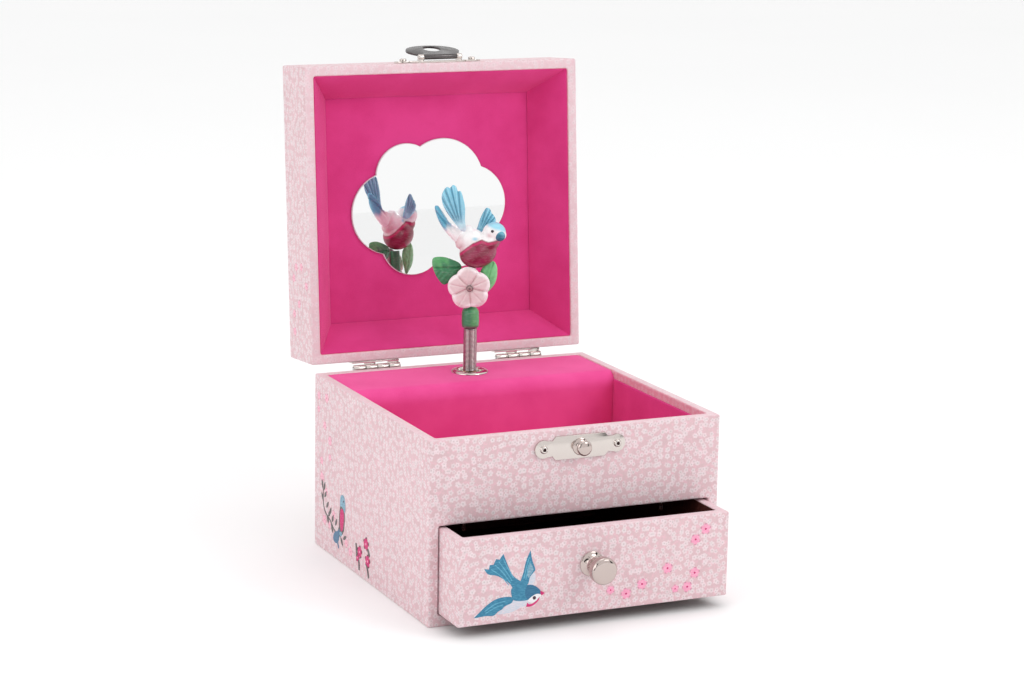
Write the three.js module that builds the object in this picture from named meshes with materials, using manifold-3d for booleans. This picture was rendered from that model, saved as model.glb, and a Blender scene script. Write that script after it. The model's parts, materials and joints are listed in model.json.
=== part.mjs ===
// Musical jewellery box: a paper-covered box with a drawer, a lined tray, a hinged lid with a
// shaped mirror, and a bird on a flower that turns on a coil-spring shaft above a wind-up movement.
// Millimetres. X to the right, Y to the back, Z up. The origin is the middle of the base underside.
// At rest the lid stands open and the drawer is pulled out a little.
import * as THREE from 'three';
import { mergeVertices } from 'three/addons/utils/BufferGeometryUtils.js';
import Module from 'manifold-3d';

const wasm = await Module();
wasm.setup();

const DEG = Math.PI / 180;

// Driving dimensions
const WIDTH = 120;
const DEPTH = 120;
const BASE_HEIGHT = 71;
const BOARD = 4;
const LID_DEPTH = 26;
const LID_GAP = 0.3; // between the closed lid and the base rim
const LID_OPEN = 94.57; // degrees from closed to rest
const PIVOT_Y = 62.7; // hinge pin line, behind the back face
const PIVOT_Z = 70.85;
const GAP = 0.3; // running gap, and glue gap inside turned groups

const HALF_W = WIDTH / 2;
const HALF_D = DEPTH / 2;
const INNER_W = HALF_W - BOARD;
const INNER_D = HALF_D - BOARD;

// Base levels
const BOTTOM_BOARD = 4.5;
const SHELF_Z = 38.5;
const SHELF_TOP = 41.5;
const PAD_TOP = 43;
const LINING = 1.25;
const LINING_TOP = 68; // the covering paper turns over the rim above the lining
const BLOCK_FRONT = 21; // front face of the padded cover over the movement
const BLOCK_ROUND = 6;
const COVER_WALL = 2;

// Drawer
const DRAWER_OUT = 17.375;
const DRAWER_SIDE_GAP = 0.375;
const DRAWER_LOW = 4.75;
const DRAWER_HIGH = 37.625;
const DRAWER_FRONT = 4.25;
const DRAWER_SIDE = 3.625;
const DRAWER_REAR = 50.5; // back face of the drawer when it is shut
const KNOB_X = -2;
const KNOB_Z = 23.5;
const STOP_PIN_X = 41.5;
const STOP_PIN_Y = -49;

// Lid lining
const RECESS = 17.5; // rim to ceiling
const CEILING_X = 45;
const CEILING_Y = 46;
const PANEL = 1.2;

// Catch
const CATCH_Z = 64; // stud height on the base
const STUD_HOLE = 3.7;
const FLAP_PIVOT_Y = -HALF_D - 2.4;
const FLAP_PIVOT_Z = 74.5;
const FLAP_BACK = 166; // degrees from latched to folded back

// Turning shaft, figure and movement
const SHAFT_Y = 41.7;
const SPRING_R = 2.8;
const BEND_LOW = 74;
const BEND_HIGH = 85;
const FIGURE_Z = 89.3;
const FIGURE_TURN = -24.6; // the way the figure faces at rest, in degrees about the shaft
const WHEEL_Z = 56; // great wheel, key and cylinder share this height
const WHEEL_PITCH = 10.5;
const WHEEL_TEETH = 28;
const PINION_PITCH = 3;
const PINION_TEETH = 8;
const WORM_WHEEL_TEETH = 12;
const WORM_X = 46;
const WORM_Y = 49.7;
const STOP_PIN_AT = [5.9, 54.4]; // x and y of the pin that the closing lid presses
const STOP_PIN_R = 0.7;
const STOP_PIN_HOLE = 1.1;
const SHAFT_HOLE = 5.8;
const KEY_HOLE = 3;

// Materials
const paint = (color, roughness, metalness = 0) =>
  new THREE.MeshStandardMaterial({ color, roughness, metalness });
const PAPER = paint(0xf2d3d8, 0.7);
const RAW_BOARD = paint(0x3a1a18, 0.85);
const FLOCK = paint(0xd61c74, 0.95);
const CHROME = paint(0xd8d8d8, 0.15, 1);
const STEEL = paint(0xa9adb0, 0.35, 1);
const BRASS = paint(0xc79a45, 0.3, 1);
const GLASS = paint(0xf2f4f4, 0.03, 1);
const LEAF_GREEN = paint(0x3f9a63, 0.4);
const PETAL = paint(0xf0d0d2, 0.4);
const BIRD_RED = paint(0xa81f52, 0.4);
const BIRD_BLUE = paint(0x74c4de, 0.4);

// Solid helpers
function solidOf(geometry) {
  const bare = geometry.clone();
  bare.deleteAttribute('normal');
  bare.deleteAttribute('uv');
  const merged = mergeVertices(bare, 1e-4);
  const mesh = new wasm.Mesh({
    numProp: 3,
    vertProperties: new Float32Array(merged.attributes.position.array),
    triVerts: new Uint32Array(merged.index.array),
  });
  return new wasm.Manifold(mesh);
}

function geometryOf(solid) {
  const mesh = solid.getMesh();
  const geometry = new THREE.BufferGeometry();
  geometry.setAttribute('position', new THREE.BufferAttribute(mesh.vertProperties, 3));
  geometry.setIndex(new THREE.BufferAttribute(mesh.triVerts, 1));
  geometry.computeVertexNormals();
  return geometry;
}

function join(first, ...others) {
  return geometryOf(others.reduce((sum, one) => sum.add(solidOf(one)), solidOf(first)));
}

function cut(first, ...tools) {
  return geometryOf(tools.reduce((sum, one) => sum.subtract(solidOf(one)), solidOf(first)));
}

function box(x0, x1, y0, y1, z0, z1) {
  const geometry = new THREE.BoxGeometry(x1 - x0, y1 - y0, z1 - z0);
  return geometry.translate((x0 + x1) / 2, (y0 + y1) / 2, (z0 + z1) / 2);
}

// A round bar from one point to another, a cone if the end radii differ
function bar(from, to, radius, sides = 16, endRadius = radius) {
  const a = new THREE.Vector3(...from);
  const b = new THREE.Vector3(...to);
  const along = b.clone().sub(a);
  const geometry = new THREE.CylinderGeometry(endRadius, radius, along.length(), sides);
  const turn = new THREE.Quaternion();
  turn.setFromUnitVectors(new THREE.Vector3(0, 1, 0), along.clone().normalize());
  geometry.applyQuaternion(turn);
  const middle = a.add(b).multiplyScalar(0.5);
  return geometry.translate(middle.x, middle.y, middle.z);
}

// A turned piece: profile of [radius, height] pairs about Z
function turned(profile, sides = 24) {
  const points = profile.map(([r, h]) => new THREE.Vector2(r, h));
  return new THREE.LatheGeometry(points, sides).rotateX(90 * DEG);
}

// An ellipsoid of half sizes a, b, c
function ellipsoid(a, b, c, wide = 14, high = 8) {
  return new THREE.SphereGeometry(1, wide, high).rotateX(90 * DEG).scale(a, b, c);
}

function extruded(shape, depth, curveSegments = 8) {
  return new THREE.ExtrudeGeometry(shape, { depth, bevelEnabled: false, curveSegments });
}

// An outline drawn in X and Z, standing upright, from y0 back to y1
function upright(shape, y0, y1, curveSegments = 8) {
  return extruded(shape, y1 - y0, curveSegments).rotateX(90 * DEG).translate(0, y1, 0);
}

// A plate between two four-cornered faces, each given in the same order
function slab(front, back) {
  const positions = new Float32Array([...front, ...back].flat());
  const faces = [0, 1, 2, 0, 2, 3, 4, 6, 5, 4, 7, 6];
  for (let i = 0; i < 4; i += 1) {
    const j = (i + 1) % 4;
    faces.push(i, i + 4, j + 4, i, j + 4, j);
  }
  const geometry = new THREE.BufferGeometry();
  geometry.setAttribute('position', new THREE.BufferAttribute(positions, 3));
  geometry.setIndex(faces);
  return solidOf(geometry).volume() < 0 ? flipped(geometry) : geometry;
}

function flipped(geometry) {
  const index = geometry.index.array;
  for (let i = 0; i < index.length; i += 3) {
    [index[i], index[i + 1]] = [index[i + 1], index[i]];
  }
  return geometry;
}

function put(parent, name, geometry, material) {
  const mesh = new THREE.Mesh(geometry, material);
  mesh.name = name;
  parent.add(mesh);
  return mesh;
}

const object = new THREE.Group();

// ---- Base carcass -------------------------------------------------------------------------
function addCarcass() {
  put(object, 'bottom_board', box(-INNER_W, INNER_W, -HALF_D, INNER_D, 0, BOTTOM_BOARD), PAPER);
  put(object, 'left_board', box(-HALF_W, -INNER_W, -HALF_D, HALF_D, 0, BASE_HEIGHT), PAPER);
  put(object, 'right_board', box(INNER_W, HALF_W, -HALF_D, HALF_D, 0, BASE_HEIGHT), PAPER);
  const front = box(-INNER_W, INNER_W, -HALF_D, -INNER_D, SHELF_Z, BASE_HEIGHT);
  put(object, 'front_board', front, PAPER);
  const keyHole = bar([0, INNER_D - 1, WHEEL_Z], [0, HALF_D + 1, WHEEL_Z], KEY_HOLE, 20);
  const back = cut(box(-INNER_W, INNER_W, INNER_D, HALF_D, 0, BASE_HEIGHT), keyHole);
  put(object, 'back_board', back, PAPER);
  const shelf = box(-INNER_W, INNER_W, -INNER_D, INNER_D, SHELF_Z, SHELF_TOP);
  put(object, 'tray_shelf', shelf, RAW_BOARD);
}

function addTrayLining() {
  const side = INNER_W - LINING;
  const front = -INNER_D + LINING;
  const pad = box(-side, side, front, BLOCK_FRONT, SHELF_TOP, PAD_TOP);
  put(object, 'tray_floor_pad', pad, FLOCK);
  for (const [name, sign] of [['left', -1], ['right', 1]]) {
    const x = [sign * side, sign * INNER_W].sort((a, b) => a - b);
    const panel = box(x[0], x[1], -INNER_D, BLOCK_FRONT, SHELF_TOP, LINING_TOP);
    put(object, `tray_lining_${name}`, panel, FLOCK);
  }
  const panel = box(-side, side, -INNER_D, front, SHELF_TOP, LINING_TOP);
  put(object, 'tray_lining_front', panel, FLOCK);
}

// The padded cover: a front wall and a top in one, with a round front edge, open underneath
function addMovementCover() {
  const inside = BLOCK_ROUND - COVER_WALL;
  const outline = new THREE.Shape();
  outline.moveTo(BLOCK_FRONT, SHELF_TOP);
  outline.lineTo(BLOCK_FRONT + COVER_WALL, SHELF_TOP);
  outline.lineTo(BLOCK_FRONT + COVER_WALL, BASE_HEIGHT - BLOCK_ROUND);
  const turnY = BLOCK_FRONT + BLOCK_ROUND;
  const turnZ = BASE_HEIGHT - BLOCK_ROUND;
  outline.absarc(turnY, turnZ, inside, 180 * DEG, 90 * DEG, true);
  outline.lineTo(INNER_D, BASE_HEIGHT - COVER_WALL);
  outline.lineTo(INNER_D, BASE_HEIGHT);
  outline.lineTo(turnY, BASE_HEIGHT);
  outline.absarc(turnY, turnZ, BLOCK_ROUND, 90 * DEG, 180 * DEG, false);
  outline.closePath();
  const across = 2 * INNER_W;
  const shell = extruded(outline, across).rotateX(90 * DEG).rotateZ(90 * DEG);
  shell.translate(-INNER_W, 0, 0);
  const low = BASE_HEIGHT - COVER_WALL - 1;
  const shaftHole = bar([0, SHAFT_Y, low], [0, SHAFT_Y, BASE_HEIGHT + 1], SHAFT_HOLE, 24);
  const pinTop = [...STOP_PIN_AT, BASE_HEIGHT + 1];
  const pinHole = bar([...STOP_PIN_AT, low], pinTop, STOP_PIN_HOLE, 10);
  put(object, 'movement_cover', cut(shell, shaftHole, pinHole), FLOCK);
}

function addGrommet() {
  const z = BASE_HEIGHT;
  const ring = turned([
    [4.9, z - 2.4], [5.5, z - 2.4], [5.5, z + 0.1], [7.5, z + 0.1], [7.4, z + 0.5],
    [6.6, z + 0.9], [5.6, z + 1], [4.9, z + 0.7], [4.9, z - 2.4],
  ], 28);
  put(object, 'shaft_grommet', ring.translate(0, SHAFT_Y, 0), CHROME);
}

// ---- Catch on the base, drawer stops ------------------------------------------------------
const PLATE_HALF = 10.2;
const PLATE_TALL = 4.5;
const WAIST_X = 11.5;
const WAIST_TALL = 2.9;
const EAR_X = 15.2;
const EAR_R = 3.5;
const EAR_ARC = 118 * DEG;

// A plate with a rounded ear at each end and a shallow waist beside each ear
function earedPlate(centreX, centreZ, thickness) {
  const shape = new THREE.Shape();
  shape.moveTo(-PLATE_HALF, -PLATE_TALL);
  shape.lineTo(PLATE_HALF, -PLATE_TALL);
  shape.lineTo(WAIST_X, -WAIST_TALL);
  shape.absarc(EAR_X, 0, EAR_R, -EAR_ARC, EAR_ARC, false);
  shape.lineTo(WAIST_X, WAIST_TALL);
  shape.lineTo(PLATE_HALF, PLATE_TALL);
  shape.lineTo(-PLATE_HALF, PLATE_TALL);
  shape.lineTo(-WAIST_X, WAIST_TALL);
  shape.absarc(-EAR_X, 0, EAR_R, 180 * DEG - EAR_ARC, 180 * DEG + EAR_ARC, false);
  shape.lineTo(-WAIST_X, -WAIST_TALL);
  shape.closePath();
  const face = -HALF_D;
  const plate = upright(shape, face - thickness, face, 5).translate(centreX, 0, centreZ);
  const rivets = [-EAR_X, EAR_X].map((x) => {
    const head = ellipsoid(1.5, 0.8, 1.5, 10, 6);
    return head.translate(centreX + x, face - thickness, centreZ);
  });
  return join(plate, ...rivets);
}

function addCatch() {
  const thickness = 0.8;
  put(object, 'latch_plate', earedPlate(0.6, CATCH_Z, thickness), CHROME);
  const stud = turned([
    [0, 0], [3.3, 0], [3.3, 0.5], [2, 0.9], [2, 2.3], [2.7, 2.6], [3, 3.3], [2.7, 4.1],
    [1.7, 4.6], [0, 4.8],
  ], 20);
  stud.rotateX(90 * DEG).translate(0.6, -HALF_D - thickness, CATCH_Z);
  put(object, 'latch_stud', stud, CHROME);
}

function addDrawerStops() {
  for (const [name, sign] of [['left', -1], ['right', 1]]) {
    const x = sign * STOP_PIN_X;
    const pin = bar([x, STOP_PIN_Y, 32.5], [x, STOP_PIN_Y, SHELF_Z], 0.8, 10);
    put(object, `drawer_stop_pin_${name}`, pin, STEEL);
  }
}

// ---- Hinges -------------------------------------------------------------------------------
const HINGES = [['left', -42.4], ['right', 21]];
const HINGE_LONG = 20.4;
const KNUCKLES = 4;
const KNUCKLE_R = 1.5;
const PIN_R = 0.6;
const PIN_BORE = 0.9;
const LEAF_THICK = 0.7;
const LEAF_REACH = 9.5;

// One leaf with every second knuckle. side -1 is the base leaf below the pin, 1 the lid leaf above
function hingeLeaf(x0, side, firstKnuckle) {
  const near = KNUCKLE_R - LEAF_THICK;
  const far = near + LEAF_REACH;
  const span = (a, b) => (side > 0 ? [PIVOT_Z + a, PIVOT_Z + b] : [PIVOT_Z - b, PIVOT_Z - a]);
  const pieces = [box(x0, x0 + HINGE_LONG, HALF_D + 0.05, HALF_D + LEAF_THICK, ...span(near, far))];
  const step = HINGE_LONG / KNUCKLES;
  for (let i = firstKnuckle; i < KNUCKLES; i += 2) {
    const from = x0 + i * step + GAP / 2;
    const to = x0 + (i + 1) * step - GAP / 2;
    pieces.push(box(from, to, HALF_D + 0.05, PIVOT_Y, ...span(near, KNUCKLE_R)));
    pieces.push(bar([from, PIVOT_Y, PIVOT_Z], [to, PIVOT_Y, PIVOT_Z], KNUCKLE_R, 16));
  }
  const boreEnd = [x0 + HINGE_LONG + 1, PIVOT_Y, PIVOT_Z];
  const bore = bar([x0 - 1, PIVOT_Y, PIVOT_Z], boreEnd, PIN_BORE, 12);
  return cut(join(...pieces), bore);
}

function addHinges(lid) {
  for (const [name, x0] of HINGES) {
    put(object, `base_hinge_leaf_${name}`, hingeLeaf(x0, -1, 0), CHROME);
    const leaf = hingeLeaf(x0, 1, 1).translate(0, -PIVOT_Y, -PIVOT_Z);
    put(lid, `lid_hinge_leaf_${name}`, leaf, CHROME);
    const end = x0 + HINGE_LONG;
    const pin = bar([x0, PIVOT_Y, PIVOT_Z], [end, PIVOT_Y, PIVOT_Z], PIN_R, 10);
    put(object, `hinge_pin_${name}`, pin, STEEL);
  }
}

// ---- Lid, drawn closed and turned open about the hinge line -------------------------------
const RIM_Z = BASE_HEIGHT + LID_GAP;
const LID_TOP = RIM_Z + LID_DEPTH;
const CEILING_Z = RIM_Z + RECESS;

function addLidBoards(place) {
  const inner = INNER_W - GAP;
  const under = LID_TOP - BOARD;
  const top = box(-HALF_W, HALF_W, -HALF_D, HALF_D, under + GAP, LID_TOP);
  place('lid_top_panel', top, PAPER);
  place('lid_left_wall', box(-HALF_W, -INNER_W, -HALF_D, HALF_D, RIM_Z, under), PAPER);
  place('lid_right_wall', box(INNER_W, HALF_W, -HALF_D, HALF_D, RIM_Z, under), PAPER);
  place('lid_front_wall', box(-inner, inner, -HALF_D, -INNER_D, RIM_Z, under), PAPER);
  place('lid_back_wall', box(-inner, inner, INNER_D, HALF_D, RIM_Z, under), PAPER);
}

// Four slanting panels run from the rim in to the edge of a flat ceiling panel
function addLidLining(place) {
  const rim = 0.6; // panel edge below the rim line
  const seat = 0.35; // kept off the walls and off the neighbouring panels
  const outX = INNER_W - seat;
  const outY = INNER_D - seat;
  const low = RIM_Z + rim;
  const high = CEILING_Z - GAP;
  for (const [name, sign] of [['left', -1], ['right', 1]]) {
    const face = [
      [sign * outX, -outY + seat, low], [sign * outX, outY - seat, low],
      [sign * CEILING_X, CEILING_Y - seat, high], [sign * CEILING_X, -CEILING_Y + seat, high],
    ];
    place(`lid_liner_${name}`, slantPanel(face, 0, sign), FLOCK);
  }
  for (const [name, sign] of [['front', -1], ['back', 1]]) {
    const face = [
      [-outX + seat, sign * outY, low], [outX - seat, sign * outY, low],
      [CEILING_X - seat, sign * CEILING_Y, high], [-CEILING_X + seat, sign * CEILING_Y, high],
    ];
    place(`lid_liner_${name}`, slantPanel(face, 1, sign), FLOCK);
  }
  const edge = 1.2;
  const ceiling = box(
    -CEILING_X - edge, CEILING_X + edge, -CEILING_Y - edge, CEILING_Y + edge,
    CEILING_Z, CEILING_Z + PANEL,
  );
  place('lid_liner_ceiling', ceiling, FLOCK);
}

// The back of a slanting panel is its face moved towards the ceiling, and a little inwards
function slantPanel(face, axis, sign) {
  const back = face.map((point, i) => {
    const moved = [...point];
    moved[2] += i < 2 ? PANEL : 0;
    moved[axis] += i < 2 ? 0 : sign * PANEL * 0.6;
    return moved;
  });
  return slab(face, back);
}

// The mirror is a cloud of round lobes about a middle block, cut from thin glass
const LOBES = [
  [-17.9, 1.8, 17.1], [-10.4, -13.2, 13.6], [6, -10, 18.3], [18, -0.8, 16], [-8.3, 14, 13.9],
  [12.5, 10.8, 15],
];

function addMirror(place) {
  const thickness = 1;
  const low = CEILING_Z - GAP - thickness;
  const discs = LOBES.map(([x, y, r]) => bar([x, y, low], [x, y, low + thickness], r, 24));
  place('lid_mirror', join(...discs), GLASS);
}

// A plate with two knuckles and a pin, and a flap with a hole that drops over the stud
const FLAP_HALF = 7;
const FLAP_BARREL = 1.1;

function addHasp(lid, place) {
  const plate = earedPlate(0, 77.2, 0.8);
  const y = FLAP_PIVOT_Y;
  const z = FLAP_PIVOT_Z;
  const knuckles = [-1, 1].flatMap((sign) => {
    const from = sign * (FLAP_HALF + GAP);
    const to = from + sign * 2.2;
    const low = Math.min(from, to);
    return [
      bar([from, y, z], [to, y, z], FLAP_BARREL, 14),
      box(low, low + 2.2, y, -HALF_D - 0.4, z - 0.6, z + FLAP_BARREL - 0.05),
    ];
  });
  const pin = bar([-FLAP_HALF - 1, y, z], [FLAP_HALF + 1, y, z], 0.45, 10);
  place('hasp_plate', join(plate, ...knuckles, pin), CHROME);

  const hinge = new THREE.Group();
  hinge.position.set(0, y - PIVOT_Y, z - PIVOT_Z);
  hinge.rotation.x = -FLAP_BACK * DEG;
  lid.add(hinge);
  put(hinge, 'hasp_flap', flapShape(), CHROME);
}

function flapShape() {
  const thickness = 0.8;
  const outline = new THREE.Shape();
  outline.moveTo(-FLAP_HALF, 0);
  outline.bezierCurveTo(-FLAP_HALF, -2.4, -11.5, -4.5, -11.5, -8);
  outline.bezierCurveTo(-11.5, -13.2, -5.5, -15.6, 0, -15.6);
  outline.bezierCurveTo(5.5, -15.6, 11.5, -13.2, 11.5, -8);
  outline.bezierCurveTo(11.5, -4.5, FLAP_HALF, -2.4, FLAP_HALF, 0);
  outline.closePath();
  const plate = upright(outline, -thickness / 2, thickness / 2, 8);
  const barrel = bar([-FLAP_HALF, 0, 0], [FLAP_HALF, 0, 0], FLAP_BARREL, 14);
  const bore = bar([-FLAP_HALF - 1, 0, 0], [FLAP_HALF + 1, 0, 0], 0.75, 12);
  const holeZ = CATCH_Z - FLAP_PIVOT_Z;
  const hole = bar([0.6, -3, holeZ], [0.6, 3, holeZ], STUD_HOLE, 24);
  return cut(join(plate, barrel), bore, hole);
}

function addLid() {
  const lid = new THREE.Group();
  lid.position.set(0, PIVOT_Y, PIVOT_Z);
  lid.rotation.x = -LID_OPEN * DEG;
  object.add(lid);
  const place = (name, geometry, material) => {
    put(lid, name, geometry.translate(0, -PIVOT_Y, -PIVOT_Z), material);
  };
  addLidBoards(place);
  addLidLining(place);
  addMirror(place);
  addHasp(lid, place);
  addHinges(lid);
}

// ---- Drawer, drawn shut and slid out ------------------------------------------------------
function addDrawer() {
  const drawer = new THREE.Group();
  drawer.position.y = -DRAWER_OUT;
  object.add(drawer);
  const outer = INNER_W - DRAWER_SIDE_GAP;
  const inner = outer - DRAWER_SIDE;
  const frontBack = -HALF_D + DRAWER_FRONT;
  const rearFace = DRAWER_REAR - DRAWER_SIDE;
  const floor = DRAWER_LOW + 1.25;
  put(drawer, 'drawer_front', box(-outer, outer, -HALF_D, frontBack, DRAWER_LOW, DRAWER_HIGH), PAPER);
  const left = box(-outer, -inner, frontBack, DRAWER_REAR, DRAWER_LOW, DRAWER_HIGH);
  put(drawer, 'drawer_left_side', left, PAPER);
  const right = box(inner, outer, frontBack, DRAWER_REAR, DRAWER_LOW, DRAWER_HIGH);
  put(drawer, 'drawer_right_side', right, PAPER);
  const rear = box(-inner, inner, rearFace, DRAWER_REAR, DRAWER_LOW, DRAWER_HIGH);
  put(drawer, 'drawer_back', rear, RAW_BOARD);
  const bottom = box(-inner, inner, frontBack, rearFace, floor, floor + 2);
  put(drawer, 'drawer_bottom', bottom, RAW_BOARD);
  const knob = turned([
    [0, 0], [4.6, 0], [4.6, 0.7], [3.2, 1.3], [2.6, 2.2], [2.5, 6], [3.4, 7.2], [4.9, 7.9],
    [5.2, 9], [5, 10.8], [4.3, 11.7], [2.4, 12.2], [0, 12.3],
  ], 28);
  put(drawer, 'drawer_knob', knob.rotateX(90 * DEG).translate(KNOB_X, -HALF_D, KNOB_Z), CHROME);
}

// ---- Movement -----------------------------------------------------------------------------
// Straight-sided gear teeth standing out of a hub, about Z
function pinion(teeth, root, tip, thickness, low, high) {
  const pieces = [bar([0, 0, low], [0, 0, high], root, 16)];
  for (let i = 0; i < teeth; i += 1) {
    const tooth = box(root - 0.5, tip, -thickness / 2, thickness / 2, low, high);
    pieces.push(tooth.rotateZ((i / teeth) * 360 * DEG));
  }
  return join(...pieces);
}

function addBedplate() {
  const top = SHELF_TOP + 2;
  const axle = (x0, x1) => bar([x0, SHAFT_Y, WHEEL_Z], [x1, SHAFT_Y, WHEEL_Z], 1.3, 14);
  const plate = join(
    box(-14, 52, 24.5, 54.5, SHELF_TOP, top),
    box(14.5, 39.5, 24.5, 29, top - 0.2, WHEEL_Z - 0.9), // comb riser
    box(5.2, 7, 39.2, 43.4, top - 0.2, WHEEL_Z + 3), // bearing at the pinion end
    box(48.4, 50.2, 38.5, 44.9, top - 0.2, WHEEL_Z + 3), // bearing at the far end
    bar([0, SHAFT_Y, top - 0.2], [0, SHAFT_Y, top + 1.2], 2, 14), // foot bearing of the spindle
    bar([WORM_X, WORM_Y, top - 0.2], [WORM_X, WORM_Y, top + 2], 2.2, 14), // foot bearing of the worm
  );
  put(object, 'bedplate', cut(plate, axle(4, 8), axle(47, 52)), STEEL);
}

// The comb: a plate with slots between its teeth, lying level with the cylinder's middle
function addComb() {
  const teeth = 12;
  const x0 = 15;
  const x1 = 39;
  const pitch = (x1 - x0) / teeth;
  const slot = 0.5;
  const root = 29;
  const tip = 34.2;
  const outline = new THREE.Shape();
  outline.moveTo(x0, 24.6);
  outline.lineTo(x1, 24.6);
  for (let i = teeth - 1; i >= 0; i -= 1) {
    const right = x0 + (i + 1) * pitch - slot / 2;
    const left = x0 + i * pitch + slot / 2;
    outline.lineTo(right, root);
    outline.lineTo(right, tip);
    outline.lineTo(left, tip);
    outline.lineTo(left, root);
  }
  outline.closePath();
  const comb = extruded(outline, 1).translate(0, 0, WHEEL_Z - 0.5);
  put(object, 'comb', comb, STEEL);
}

function addSpringHousing() {
  const front = 48.2;
  const back = INNER_D - 0.2;
  const drum = bar([0, front, WHEEL_Z], [0, back, WHEEL_Z], 10.8, 28);
  const hollow = bar([0, front - 1, WHEEL_Z], [0, back - 1, WHEEL_Z], 10, 28);
  const bore = bar([0, front - 1, WHEEL_Z], [0, back + 1, WHEEL_Z], 2.4, 16);
  put(object, 'spring_housing', cut(drum, hollow, bore), BRASS);
}

// The mainspring: a flat strip wound in a spiral inside its housing
function addMainspring() {
  const turns = 4;
  const steps = turns * 18;
  const inside = 2.9;
  const outside = 9.4;
  const strip = 0.5;
  const at = (i, extra) => {
    const share = i / steps;
    const angle = share * turns * 2 * Math.PI;
    const r = inside + (outside - inside) * share + extra;
    return [r * Math.cos(angle), r * Math.sin(angle)];
  };
  const outline = new THREE.Shape();
  outline.moveTo(...at(0, 0));
  for (let i = 1; i <= steps; i += 1) outline.lineTo(...at(i, 0));
  for (let i = steps; i >= 0; i -= 1) outline.lineTo(...at(i, strip));
  outline.closePath();
  const spring = upright(outline, 48.9, 54.2).translate(0, 0, WHEEL_Z);
  put(object, 'mainspring', spring, STEEL);
}

// The great wheel: a disc with teeth on its front face, on the arbor that the key turns
function addGreatWheel() {
  const faceY = 46.4;
  const tipY = SHAFT_Y + PINION_PITCH - 0.7;
  const pieces = [
    bar([0, faceY, WHEEL_Z], [0, 47.7, WHEEL_Z], 12, 32),
    bar([0, 47, WHEEL_Z], [0, 64, WHEEL_Z], 1.9, 14),
  ];
  for (let i = 0; i < WHEEL_TEETH; i += 1) {
    const tooth = box(-0.3, 0.3, tipY, faceY + 0.2, WHEEL_PITCH - 1.5, WHEEL_PITCH + 1.3);
    tooth.rotateY(((i + 0.5) / WHEEL_TEETH) * 360 * DEG);
    pieces.push(tooth.translate(0, 0, WHEEL_Z));
  }
  put(object, 'great_wheel', join(...pieces), BRASS);
}

function addKey() {
  const stem = bar([0, 64.3, WHEEL_Z], [0, 68, WHEEL_Z], 2.6, 18);
  const wing = new THREE.Shape();
  wing.moveTo(-2.6, -6);
  wing.bezierCurveTo(-9, -6, -9.4, 6, -2.6, 6);
  wing.lineTo(2.6, 6);
  wing.bezierCurveTo(9.4, 6, 9, -6, 2.6, -6);
  wing.closePath();
  const handle = extruded(wing, 2.6, 6).translate(0, 0, -1.3);
  handle.translate(0, 73, WHEEL_Z);
  put(object, 'winding_key', join(stem, handle), BRASS);
}

// The spindle: a foot, a pinion at the top of the great wheel, and a cup under the spring
function addSpindle() {
  const low = SHELF_TOP + 3.5;
  const mesh = WHEEL_Z + WHEEL_PITCH;
  const teeth = pinion(PINION_TEETH, 2.1, PINION_PITCH + 0.5, 0.5, mesh - 2, mesh + 1.8);
  teeth.rotateZ(90 * DEG);
  const shaft = bar([0, 0, low], [0, 0, BEND_LOW - SPRING_R - 0.8], 1.4, 14);
  const cup = bar([0, 0, mesh + 2.3], [0, 0, BEND_LOW - SPRING_R - GAP], 2.6, 18);
  put(object, 'drive_spindle', join(shaft, teeth, cup).translate(0, SHAFT_Y, 0), BRASS);
}

// The cylinder: pinion, pinned drum and worm wheel on one arbor along X
function addCylinder() {
  const drumR = 6.3;
  const pieces = [
    pinion(PINION_TEETH, 2.1, PINION_PITCH + 0.5, 0.5, 8.4, 12.4),
    bar([0, 0, 5.5], [0, 0, 50], 1, 12),
    bar([0, 0, 14.5], [0, 0, 39.5], drumR, 24),
    pinion(WORM_WHEEL_TEETH, 4.6, 5.7, 1.1, 44.7, 47.2),
  ];
  const notes = 12;
  for (let i = 0; i < notes; i += 1) {
    const along = 16 + i * 2;
    for (const turn of [(i * 5) % notes, (i * 7 + 3) % notes]) {
      const pin = box(drumR - 0.4, drumR + 0.6, -0.3, 0.3, along - 0.3, along + 0.3);
      pieces.push(pin.rotateZ((turn / notes) * 360 * DEG));
    }
  }
  const whole = join(...pieces).rotateY(90 * DEG).translate(0, SHAFT_Y, WHEEL_Z);
  put(object, 'music_cylinder', whole, BRASS);
}

// A screw: an off-centre round section turned step by step as it rises
function twistedScrew(low, high, pitch) {
  const stepsPerTurn = 7;
  const steps = Math.round(((high - low) / pitch) * stepsPerTurn);
  const section = new THREE.Shape();
  section.absarc(0.45, 0, 1.25, 0, 360 * DEG, false);
  const geometry = new THREE.ExtrudeGeometry(section, {
    depth: high - low, steps, bevelEnabled: false, curveSegments: 4,
  });
  const position = geometry.attributes.position;
  for (let i = 0; i < position.count; i += 1) {
    const angle = (position.getZ(i) / pitch) * 2 * Math.PI;
    const [x, y] = [position.getX(i), position.getY(i)];
    const [c, s] = [Math.cos(angle), Math.sin(angle)];
    position.setXY(i, x * c - y * s, x * s + y * c);
  }
  return geometry.translate(0, 0, low);
}

function addGovernor() {
  const pitch = (2 * Math.PI * 5.7) / WORM_WHEEL_TEETH;
  const foot = SHELF_TOP + 4.3;
  const fanLow = 62.4;
  const fanHigh = 65.1;
  const pieces = [
    bar([0, 0, foot], [0, 0, 49], 1, 10),
    twistedScrew(48.5, 61.5, pitch),
    bar([0, 0, 61], [0, 0, fanHigh], 1, 10),
    box(-4.4, 4.4, -0.4, 0.4, fanLow, fanHigh),
  ];
  put(object, 'governor_fan', join(...pieces).translate(WORM_X, WORM_Y, 0), BRASS);
}

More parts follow.
